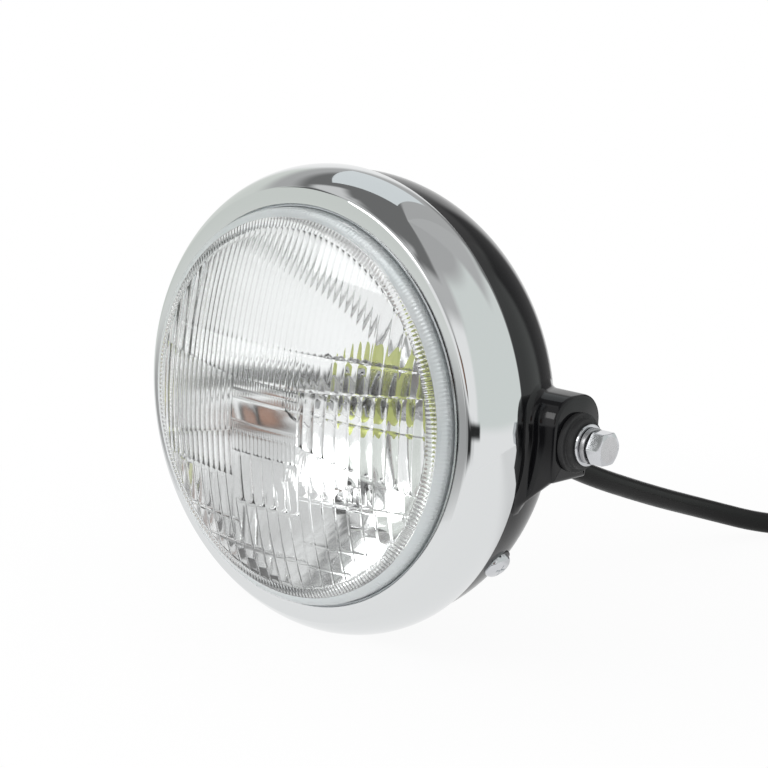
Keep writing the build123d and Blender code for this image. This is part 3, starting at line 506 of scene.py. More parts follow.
def ribs(x, block):
    """Pitch, height and line of a block's ribs at a column, where block 0 is the topmost."""
    if block <= 1:
        wide = abs(x) > BORDER_X or (x > RIGHT_X and block == 1)
        return UPPER_WIDE if wide else UPPER_FINE
    if abs(x) < CENTRE_HALF:
        return CENTRE_RIBS[block]
    if block <= 5:
        return RIGHT_WING if x > 0 else LEFT_WING
    if block == 6:
        return RIGHT_LOWER if x > 0 else LEFT_LOWER
    return SIDE_PANE


def flute(x, block):
    """Height of the inner face above the plain dome: a rounded rib, and a line between two of them."""
    pitch, height, line = ribs(x, block)
    across = abs((x / pitch) % 1.0 - 0.5)
    inner = min(across, VALLEY)
    past = across - inner
    rise = 1.0 - 4.0 * inner**2 - 8.0 * VALLEY * (past - past**2 / (1.0 - 2.0 * VALLEY))
    return height * rise + line * max(1.0 - (0.5 - across) * pitch / LINE_HALF, 0.0)


print("rib heights:", sorted({ribs(x, block)[1] for x in (-60, -30, 0, 30, 60) for block in range(10)}))

# %% [markdown]
# ## The glass: the fluted disc
# Columns of points stand close together across the ribs, which run upright, and rows are only as many as the
# dome's curve needs. Evenly spaced rows would cut slantwise through the step lines. So the rows of a column
# follow its own lines, and where two unlike blocks meet a fine raised line is left, as in the pressing tool.

# %% The glass: the fluted disc
COLUMN = 0.25  # from one column to the next
ROWS = [14, 10, 3, 3, 8, 3, 7, 12, 12, 8]  # steps down each block, from the topmost
LAST_BLOCK = len(ROWS) - 1
EDGE = 0.3  # from a step line to the first row of its block
STEP_LINE = 0.14
LOW_BLOCK = 1.5  # a lower block than this has no raised line


def step_line(x, block, heights):
    """Height of the raised line at a block's foot, 0 where alike blocks meet or one is very low."""
    beside = abs(x) > CENTRE_HALF and block in (3, 4)
    alike = beside or (x < -CENTRE_HALF and block == 2)
    low = min(heights[block], heights[block + 1]) <= LOW_BLOCK
    return 0.0 if alike or low else STEP_LINE


def fluted_column(x):
    """Points of one column of the disc, from its top to its foot."""
    lines = levels(x)
    heights = [high - low for high, low in zip(lines, lines[1:])]
    points = []
    for block, rows in enumerate(ROWS):
        high, low = lines[block], lines[block + 1]
        inset = min(EDGE, heights[block] / 3)
        for z in np.linspace(high - inset * (block > 0), low + inset * (block < LAST_BLOCK), rows + 1):
            points.append((x, inner_dome(x, z) + flute(x, block), z))
        if block < LAST_BLOCK:
            ridge = max(flute(x, block), flute(x, block + 1)) + step_line(x, block, heights)
            points.append((x, inner_dome(x, low) + ridge, low))
    return points


grid = [fluted_column(x) for x in np.arange(-FLUTE_R, FLUTE_R + COLUMN / 2, COLUMN)]
tall = len(grid[0])
glass_points = [point for column in grid for point in column]
glass_faces = quads(len(grid), tall, round_lines=False)
disc_edge = [i * tall for i in range(len(grid))]
disc_edge += [i * tall + tall - 1 for i in reversed(range(1, len(grid) - 1))]
print("fluted disc:", len(grid), "columns of", tall, "points")

# %% [markdown]
# ## The glass: joining rings
# A pressed glass is one solid, so its mesh has to be one closed skin: slits would refract wrongly. Blender
# could bridge two edge loops. These helpers do it by number. `bands` joins rings of equal counts, and `join`
# goes round two rings of unlike counts and steps on the one that lags behind.


# %% The glass: joining rings
def circle(steps, place):
    """Adds a ring of points at the radius and station that `place` gives for an angle."""
    first = len(glass_points)
    for k in range(steps):
        angle = math.pi - 2 * math.pi * k / steps
        r, y = place(angle)
        glass_points.append((r * math.cos(angle), y, r * math.sin(angle)))
    return list(range(first, first + steps))


def angle_of(number):
    """How far round the axis a point lies."""
    x, _, z = glass_points[number]
    return (math.pi - math.atan2(z, x)) % (2 * math.pi)


def join(one, two):
    """Faces between two rings of any number of points."""
    i = j = 0
    while i < len(one) or j < len(two):
        a, b = one[i % len(one)], two[j % len(two)]
        next_a = angle_of(one[i + 1]) if i + 1 < len(one) else 2 * math.pi
        next_b = angle_of(two[j + 1]) if j + 1 < len(two) else 2 * math.pi
        if j >= len(two) or (i < len(one) and next_a <= next_b):
            glass_faces.append((a, one[(i + 1) % len(one)], b))
            i += 1
        else:
            glass_faces.append((a, two[(j + 1) % len(two)], b))
            j += 1


def bands(rings):
    """Faces between neighbouring rings of the same number of points."""
    for one, two in zip(rings, rings[1:]):
        for k in range(len(one)):
            after = (k + 1) % len(one)
            glass_faces.append((one[k], one[after], two[after], two[k]))


print("points at the disc's border:", len(disc_edge))

# %% [markdown]
# ## The glass: its ring of ribs
# Small radial ribs frame the disc. They could be copies of one rib in an Array modifier. A wave in the height
# of a ring is less work, and each rib runs into the next.

# %% The glass: its ring of ribs
RING_RIBS = 264
RING_R = 73.2
RING_HEIGHT = 0.42
RING_START, RING_RISE, RING_FALL = 0.1, 0.6, 0.5  # from the disc's border, and the ring's two edges


def ribbed(radius, height):
    """A ring of small radial ribs."""
    def place(angle):
        rise = height * (0.5 - 0.5 * math.cos(RING_RIBS * angle))
        return radius, float(inner_dome(radius, 0.0)) + rise
    return place


ring_sections = [
    (FLUTE_R + RING_START, 0.0),
    (FLUTE_R + RING_RISE, RING_HEIGHT),
    (RING_R - RING_FALL, RING_HEIGHT),
    (RING_R, 0.0),
]
rings = [circle(4 * RING_RIBS, ribbed(radius, height)) for radius, height in ring_sections]
join(disc_edge, rings[0])
bands(rings)
print("ring of", RING_RIBS, "radial ribs")

# %% [markdown]
# ## The glass: its outside
# From the ring the skin goes on over the bonded border, the flange behind the bezel, the rounded shoulder and
# the smooth dome. Part of a sphere could make the dome, but its edge would not meet the shoulder. One section
# through all of them does.

# %% The glass: its outside
GLASS_R = 77.7
FLANGE_R = 82.5
FLANGE_FRONT = -39.2
FLANGE_EDGE, FLANGE_HEEL = 0.4, 0.3
BOND_R = 73.4  # the collar is bonded to the glass from here outwards
BOND_FRONT = -44.5
BOND_WIDE = 77.3
BOND_STEP = -41.2
BOND_Y = -36.3
SHOULDER_ROUND = 4.0
SHOULDER_Y = -43.6
SHOULDER_FOOT = 0.6
CROWN_R = 1.5
PEAK = -64.17
shoulder_r = GLASS_R - SHOULDER_ROUND
shoulder_end = -90 + math.degrees(math.asin(shoulder_r / DOME_R))
outside = [
    (BOND_R, BOND_FRONT),
    (BOND_WIDE, BOND_STEP),
    (BOND_WIDE, BOND_Y),
    (FLANGE_R - FLANGE_EDGE, BOND_Y),
    (FLANGE_R, BOND_Y - FLANGE_HEEL),
    (FLANGE_R, FLANGE_FRONT + FLANGE_EDGE),
    (FLANGE_R - FLANGE_EDGE, FLANGE_FRONT),
    (GLASS_R + SHOULDER_FOOT, FLANGE_FRONT),
    (GLASS_R, FLANGE_FRONT - SHOULDER_FOOT),
    *arc((shoulder_r, SHOULDER_Y), SHOULDER_ROUND, 0, shoulder_end, 10),
]
for r in np.linspace(outside[-1][0], CROWN_R, 36)[1:]:
    outside.append((r, max(DOME_Y - math.sqrt(DOME_R**2 - r * r), PEAK)))
shells = [circle(RING_RIBS, lambda angle, section=section: section) for section in outside]
join(rings[-1], shells[0])
bands(shells)
glass_faces.append(tuple(shells[-1]))
lens = new_piece("lens", glass_points, glass_faces, sharp=80.0)
finish(lens, "lens_glass", "front_lens")
print("lens faces:", len(lens.data.polygons))

# %% [markdown]
# ## The collar behind the glass
# Round its border the glass is bonded to the reflector's lip, which shows through the clear shoulder as a pale
# ring with fine beads. A plain ring behind the glass would leave air between them, which turns much light back
# inside. So this collar's face is sunk a hair into the glass. Its bore carries on the mirror of the bowl.

# %% The collar behind the glass
FLANGE_BACK = -35.7
SUNK = 0.03  # how far the collar's face lies in the glass
COLLAR_GAP = 0.1  # from the collar's bore to the glass
COLLAR_SIDE, COLLAR_BACK, COLLAR_INSET = 0.02, 0.04, 0.5
MIRROR_EDGE = 0.08  # faces outside of this are metallised, the bore is a mirror
BEADS = 300
BEAD_HEIGHT = 0.35
BEAD_SHAPE = (0.0, 0.5, 1.0, 0.5)
collar_profile = [
    (BOND_R - COLLAR_GAP, FLANGE_BACK + COLLAR_BACK),
    (BOND_R - COLLAR_GAP, BOND_FRONT + COLLAR_GAP),
    (BOND_R - COLLAR_SIDE, BOND_FRONT - SUNK),
    (0.5 * (BOND_R + BOND_WIDE), 0.5 * (BOND_FRONT + BOND_STEP) - SUNK),
    (BOND_WIDE + COLLAR_SIDE, BOND_STEP - SUNK),
    (BOND_WIDE + COLLAR_SIDE, BOND_Y - COLLAR_SIDE),
    (FLANGE_R - COLLAR_INSET, BOND_Y - COLLAR_SIDE),
    (FLANGE_R - COLLAR_INSET, FLANGE_BACK + COLLAR_BACK),
]
BEADED = 4  # the profile's point that the beads lift
collar_points, collar_faces = turned(collar_profile, len(BEAD_SHAPE) * BEADS)
for k in range(len(BEAD_SHAPE) * BEADS):
    bead = k * len(collar_profile) + BEADED
    height = BEAD_HEIGHT * BEAD_SHAPE[k % len(BEAD_SHAPE)]
    x, y, z = collar_points[bead]
    stretch = 1 + height / math.hypot(x, z)
    collar_points[bead] = (x * stretch, y - height, z * stretch)
collar = finish(new_piece("reflector_collar", collar_points, collar_faces), "reflector")
collar.data.materials.append(metallised)
bore = (BOND_R - MIRROR_EDGE) * MM
for face in collar.data.polygons:
    face.material_index = int(math.hypot(face.center.x, face.center.z) > bore)
print("collar faces:", len(collar.data.polygons))

# %% [markdown]
# ## The reflector
# A thin pressed bowl, metallised inside, on the parabola that sends the bulb's light straight out. A flange
# is at its mouth and a neck round the bulb. A scaled sphere would mirror the bulb in the wrong places, so the
# bowl is turned from the parabola's formula. A hair of air is left before its flange, since two faces in one
# place leave dark specks.

# %% The reflector
FOCAL = 30.0
VERTEX = 9.564
REFLECTOR_WALL = 1.8
MOUTH_R = 73.7
SEAT_R = 19.2
NECK_R = 23.5
NECK_REAR = 11.092
FLANGE_AIR, FLANGE_TALL = 0.08, 1.4
LIP_IN, LIP_OUT, LIP_ROOT = 0.3, 0.6, 1.4  # from the mouth's radius to the corners of its lip
flange_face = FLANGE_BACK + FLANGE_AIR
flange_rear = FLANGE_BACK + FLANGE_TALL


def bowl(r):
    """Station of the bowl's inside at a radius."""
    return VERTEX - r * r / (4 * FOCAL)


bowl_profile = [
    *((r, bowl(r)) for r in np.linspace(SEAT_R, MOUTH_R - LIP_IN, 40)),
    (MOUTH_R + LIP_OUT, flange_face),
    (FLANGE_R, flange_face),
    (FLANGE_R, flange_rear),
    (MOUTH_R + LIP_ROOT, flange_rear),
    *((r, bowl(r) + REFLECTOR_WALL) for r in np.linspace(MOUTH_R, NECK_R, 24)),
    (NECK_R, NECK_REAR),
    (SEAT_R, NECK_REAR),
]
reflector = lathe("reflector_bowl", bowl_profile, 192)
finish(reflector, "reflector", "reflector")
print("reflector faces:", len(reflector.data.polygons))

# %% [markdown]
# ## The bucket
# A gloss black moulded bowl. Its straight mouth stands inside the rim, its wall is a quarter of an ellipse, and
# its rear ends in a small flat with a raised pad for the grommet. The pad could be joined to the bowl by a
# Boolean. Gloss black hides the seam, so it is a piece that simply stands in the wall.

# %% The bucket
BUCKET_R = 91.0
BUCKET_FRONT = -26.0
BUCKET_WALL = 2.2
MOUTH_EDGE = 0.3
BOWL_Y = -13.0
BOWL_DEPTH = 61.0
REAR_FLAT_R = 20.0
PAD_R, PAD_WALL = 14.0, 2.0
PAD_ROOT, PAD_INSIDE, PAD_FACE = 40.0, 44.0, 48.84
PAD_ROUND = 0.9
PAD_Z = -24.0


def shell(reach, depth, steps):
    """Half of the bowl's section, from the mouth to the rear flat and its middle."""
    angles = np.linspace(math.pi / 2, math.asin(REAR_FLAT_R / reach), steps)
    wall = [(reach * math.sin(a), BOWL_Y + depth * math.cos(a)) for a in angles]
    return [*wall, (0.0, wall[-1][1])]


bucket_profile = [
    (BUCKET_R, BUCKET_FRONT + MOUTH_EDGE),
    *shell(BUCKET_R, BOWL_DEPTH, 48),
    *reversed(shell(BUCKET_R - BUCKET_WALL, BOWL_DEPTH - BUCKET_WALL, 24)),
    (BUCKET_R - BUCKET_WALL, BUCKET_FRONT),
    (BUCKET_R - MOUTH_EDGE, BUCKET_FRONT),
]
bucket = lathe("bucket_shell", bucket_profile, 192)
finish(bucket, "bucket", "bucket")
pad_corners = [(0.0, PAD_INSIDE), (0.0, PAD_FACE), (PAD_R, PAD_FACE), (PAD_R, PAD_ROOT),
               (PAD_R - PAD_WALL, PAD_ROOT)]
pad = lathe("grommet_pad", rounded(pad_corners, PAD_ROUND), 64, origin=(0, 0, PAD_Z), closed=False)
finish(pad, "bucket")
print("bucket faces:", len(bucket.data.polygons))

# %% [markdown]
# ## The ears
# On each side the moulding grows an ear that takes a tilt bolt: a flat front, a round back, and a gusset that
# runs down into the wall. Unlike the pad, an ear meets the wall in a wide soft fillet that catches light. It
# could be a Boolean with a bevel, which seldom holds on a curved wall. Here each point of the ear's outline
# carries a line of points from the wall, along the fillet, to the middle of the end face.

# %% The ears
EAR_R = 14.5
EAR_TOP = 17.5
EAR_CORNER = 11.0
EAR_FRONT = -13.0
EAR_END = 103.0
EAR_EDGE = 1.6
GUSSET_BACK = 8.0
GUSSET_ROUND = 1.8
GUSSET_SLOPE = 11.0 / 14.2  # drop of the gusset for each millimetre inwards
GUSSET_DRAFT = 0.9  # share of its slope that the gusset loses towards its back
NEAR = 0.01  # slack at the gusset's corners
# Rise above the bowl's wall and flare from the ear's outline, along the fillet
FILLET = [(-3.0, 3.0), (0.0, 3.0), (0.2, 2.1), (0.6, 1.3), (1.2, 0.7), (1.9, 0.3), (3.0, 0.0)]
gusset_meet = -math.sqrt(EAR_R**2 - GUSSET_BACK**2)
gusset_corners = [(GUSSET_BACK, gusset_meet), (GUSSET_BACK, -EAR_R), (EAR_FRONT, -EAR_R), (EAR_FRONT, 0.0)]
corner_z = EAR_TOP - EAR_CORNER
ear_outline = [
    (EAR_FRONT, 0.0),
    (EAR_FRONT, corner_z),
    *arc((EAR_FRONT + EAR_CORNER, corner_z), EAR_CORNER, 180, 90, 12)[1:],
    *arc((EAR_R - EAR_CORNER, corner_z), EAR_CORNER, 90, 0, 12),
    *arc((0, 0), EAR_R, 0, math.degrees(math.asin(gusset_meet / EAR_R)), 12),
    *rounded(gusset_corners, GUSSET_ROUND)[1:-1],
]


def wall_at(y, z):
    """How far out the bowl's wall stands at a height and station."""
    past = max((y - BOWL_Y) / BOWL_DEPTH, 0.0)
    r = BUCKET_R * math.sqrt(max(1 - past**2, 0))
    return math.sqrt(max(r * r - z * z, 0))


def ear_point(y, z, out, rise, flare):
    """A point of the ear near the wall, flared into it and carried down along the gusset."""
    py, pz = y + out[0] * flare, z + out[1] * flare
    x = wall_at(py, pz) + rise
    if z < gusset_meet - NEAR and y < GUSSET_BACK + NEAR:
        back = (y - EAR_FRONT) / (GUSSET_BACK - EAR_FRONT)
        slope = GUSSET_SLOPE * (1.0 - GUSSET_DRAFT * back)
        x = wall_at(py, pz - slope * (EAR_END - x)) + rise
        pz -= slope * (EAR_END - x)
    return x, py, pz


def ear_line(y, z, out):
    """One point of the outline, followed from inside the wall to the middle of the ear's end."""
    line = [ear_point(y, z, out, rise, flare) for rise, flare in FILLET]
    for lift in np.radians((0, 30, 60, 90)):
        inward = EAR_EDGE * (1 - math.cos(lift))
        x = EAR_END - EAR_EDGE + EAR_EDGE * math.sin(lift)
        line.append((x, y - out[0] * inward, z - out[1] * inward))
    return [*line, (EAR_END, 0.0, 0.0)]


print("ear outline of", len(ear_outline), "points")

# %% [markdown]
# ## The ears as pieces
# The two ears mirror each other. A Mirror modifier could make the left one. Here the same lines of points are
# set out twice, so that each ear is a piece of its own.

# %% The ears as pieces
SIDES = ((1, "right"), (-1, "left"))
outline = np.array(ear_outline)
ahead, behind = np.roll(outline, -1, axis=0), np.roll(outline, 1, axis=0)
along = ahead - behind
outwards = np.column_stack((-along[:, 1], along[:, 0]))
outwards /= np.linalg.norm(outwards, axis=1)[:, None]
lines = [ear_line(y, z, out) for (y, z), out in zip(outline, outwards)]
ear_faces = quads(len(lines), len(lines[0]))
for side, tag in SIDES:
    ear_points = [(side * x, y, z) for line in lines for x, y, z in line]
    ear = new_piece("ear_" + tag, ear_points, ear_faces, sharp=50.0)
    finish(ear, "bucket")
print("ear faces:", len(ear.data.polygons))

# %% [markdown]
# ## The heads of the tilt bolts
# A hexagon head with a corner to the front. The bar it is cut from is turned at both ends, so a cone takes off
# the corners and leaves an arc on each flat. A six-sided cylinder has no such arcs. This head is built as many
# thin slices round its axis, each as wide as the hexagon and as tall as the cone allows there.

# %% The heads of the tilt bolts
HEX_AF = 12.0
HEAD_X = 112.7
HEX_END = 118.7
FACE_R = 5.0
CORNER_BLUNT = 0.12
CONE_LEAD = 0.2
SEAT_IN, SEAT_CONE = 0.3, 0.6
FLAT_STOP, FLAT_IN = 0.25, 0.1  # where the flats end below the cone
RIM_OUT, RIM_LOW, FACE_LOW = 0.25, 0.12, 0.08  # the edge round the end face
CONE_ANGLE = math.radians(30)
HEAD_STEPS = 144


def head_section(angle):
    """The head's section at one angle, as (radius, height) from its seat to the middle of its end."""
    half = HEX_AF / 2
    turn_on_flat = angle % (math.pi / 3) - math.pi / 6
    flat = min(half / math.cos(turn_on_flat), half / math.cos(math.pi / 6) - CORNER_BLUNT)
    cone = (flat - half + CONE_LEAD) * math.tan(CONE_ANGLE)
    high = HEX_END - HEAD_X
    return [
        (0.0, 0.0),
        (half - SEAT_IN, 0.0),
        (flat, SEAT_CONE * cone),
        (flat, high - cone - FLAT_STOP),
        (flat - FLAT_IN, high - cone),
        (FACE_R + RIM_OUT, high - RIM_LOW),
        (FACE_R, high - FACE_LOW),
        (0.0, high - FACE_LOW),
    ]


def hexagon_head(name, side):
    """A hexagon head, a corner to the front, with its corners turned off by a cone at both ends."""
    points = []
    for k in range(HEAD_STEPS):
        angle = 2 * math.pi * k / HEAD_STEPS
        section = head_section(angle)
        for r, s in section:
            points.append((side * (HEAD_X + s), -r * math.cos(angle), r * math.sin(angle)))
    faces = quads(HEAD_STEPS, len(section))
    return new_piece(name, points, faces, sharp=10.0)


print("bolt head", HEX_AF, "mm across flats")

# %% [markdown]
# ## The spring washers
# Under each head sits a split ring that has sprung up a little at its cut. A torus would have neither the
# square section nor the gap. So a rounded square is carried nearly once round the axis while it climbs, and
# its two ends are closed.

# %% The spring washers
SPRING_X = 109.7
SPRING_BORE, SPRING_R, SPRING_TALL = 4.3, 6.9, 2.0
SPRING_START, SPRING_TURN = 300.0, 352.0
SPRING_CLIMB = 0.9
SPRING_ROUND = 0.35
SPRING_STEPS = 80


def split_ring(name, side):
    """A spring washer: a rounded square section that climbs a little on its way round."""
    corners = [(SPRING_BORE, 0.0), (SPRING_R, 0.0), (SPRING_R, SPRING_TALL), (SPRING_BORE, SPRING_TALL)]
    section = rounded([*corners, corners[0]], SPRING_ROUND, 3)[:-1]
    count = len(section)
    points = []
    for k in range(SPRING_STEPS + 1):
        part = k / SPRING_STEPS
        angle = math.radians(SPRING_START + SPRING_TURN * part)
        for r, s in section:
            x = SPRING_X + SPRING_CLIMB * part + s
            points.append((side * x, -r * math.cos(angle), r * math.sin(angle)))
    faces = quads(SPRING_STEPS + 1, count, round_lines=False, round_points=True)
    faces += [tuple(range(count)), tuple(range(SPRING_STEPS * count, (SPRING_STEPS + 1) * count))]
    return new_piece(name, points, faces, sharp=40.0)


print("spring washer turns", SPRING_TURN, "degrees")

# %% [markdown]
# ## The stacks on the ears
# On each ear stand a stepped rubber bush, a flat washer, the spring washer and the bolt. They could be modelled
# as one shape, but apart they keep their own finishes. The round ones are turned along the tilt axis, one after
# the other from the ear's end outwards, as they are put on by hand.

# %% The stacks on the ears
BUSH_BORE, BUSH_R, BUSH_NOSE_R = 4.5, 11.4, 9.5
BUSH_STEP, BUSH_END = 105.6, 108.1
WASHER_BORE, WASHER_R = 4.3, 8.0
NECK_FROM, NECK_TO, SHANK_R = 109.0, 113.0, 4.0
BUSH_ROUND, WASHER_ROUND, NECK_ROUND = 0.6, 0.35, 0.1
FACE_TALL = 0.2
FACE_DISH = [(0.0, 0.0), (2.5, 0.005), (4.0, 0.02), (FACE_R, 0.06)]  # radius, and fall from the middle
bush_corners = [(BUSH_BORE, EAR_END), (BUSH_R, EAR_END), (BUSH_R, BUSH_STEP), (BUSH_NOSE_R, BUSH_STEP),
                (BUSH_NOSE_R, BUSH_END), (BUSH_BORE, BUSH_END), (BUSH_BORE, EAR_END)]
washer_corners = [(WASHER_BORE, BUSH_END), (WASHER_R, BUSH_END), (WASHER_R, SPRING_X),
                  (WASHER_BORE, SPRING_X), (WASHER_BORE, BUSH_END)]
neck_corners = [(0.0, NECK_FROM), (SHANK_R, NECK_FROM), (SHANK_R, NECK_TO), (0.0, NECK_TO)]
face_profile = [(r, HEX_END - fall) for r, fall in FACE_DISH]
face_profile += [(FACE_R, HEX_END - FACE_TALL), (0.0, HEX_END - FACE_TALL)]
for side, tag in SIDES:
    tilt_axis = (side, 0, 0)
    finish(lathe("bush_" + tag, rounded(bush_corners, BUSH_ROUND), 96, axis=tilt_axis), "rubber")
    finish(lathe("washer_" + tag, rounded(washer_corners, WASHER_ROUND), 96, axis=tilt_axis), "bolt_zinc")
    ring = finish(split_ring("spring_ring_" + tag, side), "bolt_zinc")
    ring.data.materials[0] = spring_steel
    finish(lathe("bolt_neck_" + tag, rounded(neck_corners, NECK_ROUND), 48, axis=tilt_axis), "bolt_zinc")
    finish(hexagon_head("bolt_" + tag, side), "bolt_zinc")
    face = finish(lathe("bolt_face_" + tag, face_profile, 96, axis=tilt_axis), "bolt_zinc")
    face.data.materials[0] = turned_zinc
for node in ("pivot_bushes", "flat_washers", "spring_washers"):
    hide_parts(node)
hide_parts("tilt_bolts")
print("bolt stacks on both ears")

# %% [markdown]
# ## The rim screws
# Low on each side a plated pan head stands on a round boss of the bucket, with a cross recess pressed into its
# dome. Cutting the cross with a Boolean leaves edges as sharp as paper. The head is a height over a disc
# instead, lowered smoothly along the two arms of the cross.

# %% The rim screws
SCREW_TURN = math.radians(36.0)
SCREW_Y = -5.8
SCREW_SEAT = 90.3
SCREW_R = 5.8
SCREW_TALL = 3.4
RECESS_LONG, RECESS_HALF = 2.9, 0.62
RECESS_SLOPE, RECESS_DEPTH = 0.35, 1.2
DOME_POWER, DOME_ROOT = 3.2, 0.42  # how full the dome is
RING_SPREAD = 0.8  # below 1, rings crowd towards the edge
BOSS_R, BOSS_ROOT, BOSS_ROUND = 6.8, 84.0, 0.5
HEAD_RINGS, HEAD_TURN = 30, 96


def pan_height(u, v):
    """Height of the head over its seat at a place on its disc."""
    r = math.hypot(u, v)
    dome = SCREW_TALL * max(1 - (r / SCREW_R) ** DOME_POWER, 0.0) ** DOME_ROOT
    longer, shorter = max(abs(u), abs(v)), min(abs(u), abs(v))
    inside = min(RECESS_LONG - longer, RECESS_HALF - shorter) / RECESS_SLOPE
    inside = min(max(inside, 0.0), 1.0)
    return dome - RECESS_DEPTH * inside * inside * (3 - 2 * inside)


def pan_head(name, outward):
    """A domed head with a cross recess, on an axis that points outwards."""
    along = np.array((0.0, 1.0, 0.0))
    across = np.cross(outward, along)
    points = []
    for i in range(HEAD_RINGS + 1):
        r = SCREW_R * (i / HEAD_RINGS) ** RING_SPREAD
        for angle in np.linspace(0, 2 * math.pi, HEAD_TURN, endpoint=False):
            u, v = r * math.cos(angle), r * math.sin(angle)
            high = SCREW_SEAT + pan_height(u, v)
            points.append(tuple(outward * high + along * (SCREW_Y + u) + across * v))
    faces = quads(HEAD_RINGS + 1, HEAD_TURN, round_lines=False, round_points=True)
    return new_piece(name, points, faces, sharp=60.0)


boss_corners = [(0.0, BOSS_ROOT), (BOSS_R, BOSS_ROOT), (BOSS_R, SCREW_SEAT), (0.0, SCREW_SEAT)]
for side, tag in SIDES:
    outward = np.array((side * math.cos(SCREW_TURN), 0.0, -math.sin(SCREW_TURN)))
    head = finish(pan_head("screw_" + tag, outward), "chrome")
    head.data.materials[0] = zinc
    boss_profile = rounded(boss_corners, BOSS_ROUND)
    boss = lathe("screw_boss_" + tag, boss_profile, 72, axis=outward, origin=(0, SCREW_Y, 0), closed=False)
    finish(boss, "bucket")
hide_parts("rim_screws")
print("screw faces:", len(head.data.polygons))

# %% [markdown]
# ## CAD pieces that stay
# The bulb, the seal, the grommet, the plug and all that lies hidden keep their CAD form. They could be built
# again too, but little of them shows. They only need smooth shading and the finish that the record names for
# them. The seal is the exception: it is a pale silicone at the border of the glass.

# %% CAD pieces that stay
record_slots = {part["node"]: part["material_slot"] for part in frame["record"]["subparts"]}
for name, node in frame["nodes"].items():
    node.data.polygons.foreach_set("use_smooth", [True] * len(node.data.polygons))
    node.data.materials.clear()
    node.data.materials.append(FINISH[record_slots[name]])
frame["nodes"]["lens_seal"].data.materials[0] = silicone
print("CAD nodes with a finish:", len(record_slots))

# %% [markdown]
# ## Nodes for floor and studio
# The lamp stands on white in a bright studio. Lights strong enough to burn the floor white would burn the lamp
# too. So the floor and the world show white only to rays that look at them, from the camera, from a mirror or
# through glass, and light the lamp at a plain level. These helpers keep such node trees short.


# %% Nodes for floor and studio
def feed(tree, sockets, values):
    """Links each socket to another one, or sets its value."""
    for socket, value in zip(sockets, values):
        if isinstance(value, bpy.types.NodeSocket):
            tree.links.new(value, socket)
        else:
            socket.default_value = value


def math_node(tree, operation, *values):
    """A math node whose inputs are sockets or numbers."""
    node = tree.nodes.new("ShaderNodeMath")
    node.operation = operation
    feed(tree, node.inputs, values)
    return node.outputs["Value"]


def blend(tree, *values):
    """Mixes two shaders by the factor that comes first."""
    mix = tree.nodes.new("ShaderNodeMixShader")
    feed(tree, mix.inputs, values)
    return mix.outputs["Shader"]


def background_rays(tree, path):
    """A factor that is 1 for the rays that show the background, and 0 for the rest."""
    glossy = math_node(tree, "MAXIMUM", path.outputs["Is Camera Ray"], path.outputs["Is Glossy Ray"])
    return math_node(tree, "MAXIMUM", glossy, path.outputs["Is Transmission Ray"])


def smooth_step(tree, value, low, high):
    """A smooth rise from 0 to 1 between two values."""
    span = tree.nodes.new("ShaderNodeMapRange")
    span.interpolation_type = "SMOOTHSTEP"
    span.inputs["From Min"].default_value = low
    span.inputs["From Max"].default_value = high
    tree.links.new(value, span.inputs["Value"])
    return span.outputs["Result"]


print("helpers for the node trees of floor and studio")

# %% [markdown]
# ## The floor
# A round sheet of pale paper under the lamp. It mixes a matt paper, which takes the lamp's soft shadow, with a
# plain white that hides where the sheet ends. A plane with one even white could do, but the black bucket would
# mirror all of it. So behind the lamp reflections see less of the white, a painted shade that stands in for the
# lamp's shadow on the paper there.

# %% The floor
FLOOR_Z = -93.5
FLOOR_R = 0.36  # in metres, as its centre is
FLOOR_CENTRE = (0.05, 0.12)
PAPER = (0.9, 0.9, 0.9, 1)
WHITE = (1, 1, 1, 1)
FADE_FROM, FADE_TO = 0.1, 0.95 * FLOOR_R  # metres from the middle over which the shadow fades out
SHOWN, FADED = 0.94, 0.06  # share of plain white near the lamp, and what the edge adds to it
# Behind the lamp, reflections of the floor get a painted shade: where it begins, where it is full, and its
# strength
SHADE_FROM, SHADE_TO, SHADE = -0.1, -0.03, 0.6  # where reflections begin to lose white, and how much
bpy.ops.mesh.primitive_circle_add(
    vertices=128, radius=FLOOR_R, fill_type="NGON", location=(*FLOOR_CENTRE, FLOOR_Z * MM)
)
floor = bpy.context.object
floor.name = "floor"
paper = bpy.data.materials.new("paper")
paper.use_nodes = True
tree = paper.node_tree
tree.nodes.clear()
output = tree.nodes.new("ShaderNodeOutputMaterial")
path = tree.nodes.new("ShaderNodeLightPath")
matte = tree.nodes.new("ShaderNodeBsdfDiffuse")
matte.inputs["Color"].default_value = PAPER
glow = tree.nodes.new("ShaderNodeEmission")
glow.inputs["Color"].default_value = WHITE
place = tree.nodes.new("ShaderNodeTexCoord")
far = tree.nodes.new("ShaderNodeVectorMath")
far.operation = "LENGTH"
tree.links.new(place.outputs["Object"], far.inputs[0])
fade = smooth_step(tree, far.outputs["Value"], FADE_FROM, FADE_TO)
axes = tree.nodes.new("ShaderNodeSeparateXYZ")
tree.links.new(place.outputs["Object"], axes.inputs["Vector"])
# painted shade on the floor behind the lamp, seen only in reflections and through glass
behind_lamp = smooth_step(tree, axes.outputs["Y"], SHADE_FROM, SHADE_TO)
mirrored = math_node(tree, "SUBTRACT", 1.0, path.outputs["Is Camera Ray"])
painted_shade = math_node(tree, "MULTIPLY", math_node(tree, "MULTIPLY", behind_lamp, mirrored), SHADE)
share = math_node(tree, "SUBTRACT", math_node(tree, "MULTIPLY_ADD", fade, FADED, SHOWN), painted_shade)
white = math_node(tree, "MULTIPLY", background_rays(tree, path), share)
sheet = blend(tree, white, matte.outputs["BSDF"], glow.outputs["Emission"])
tree.links.new(sheet, output.inputs["Surface"])
floor.data.materials.append(paper)
print("floor at", FLOOR_Z, "mm")

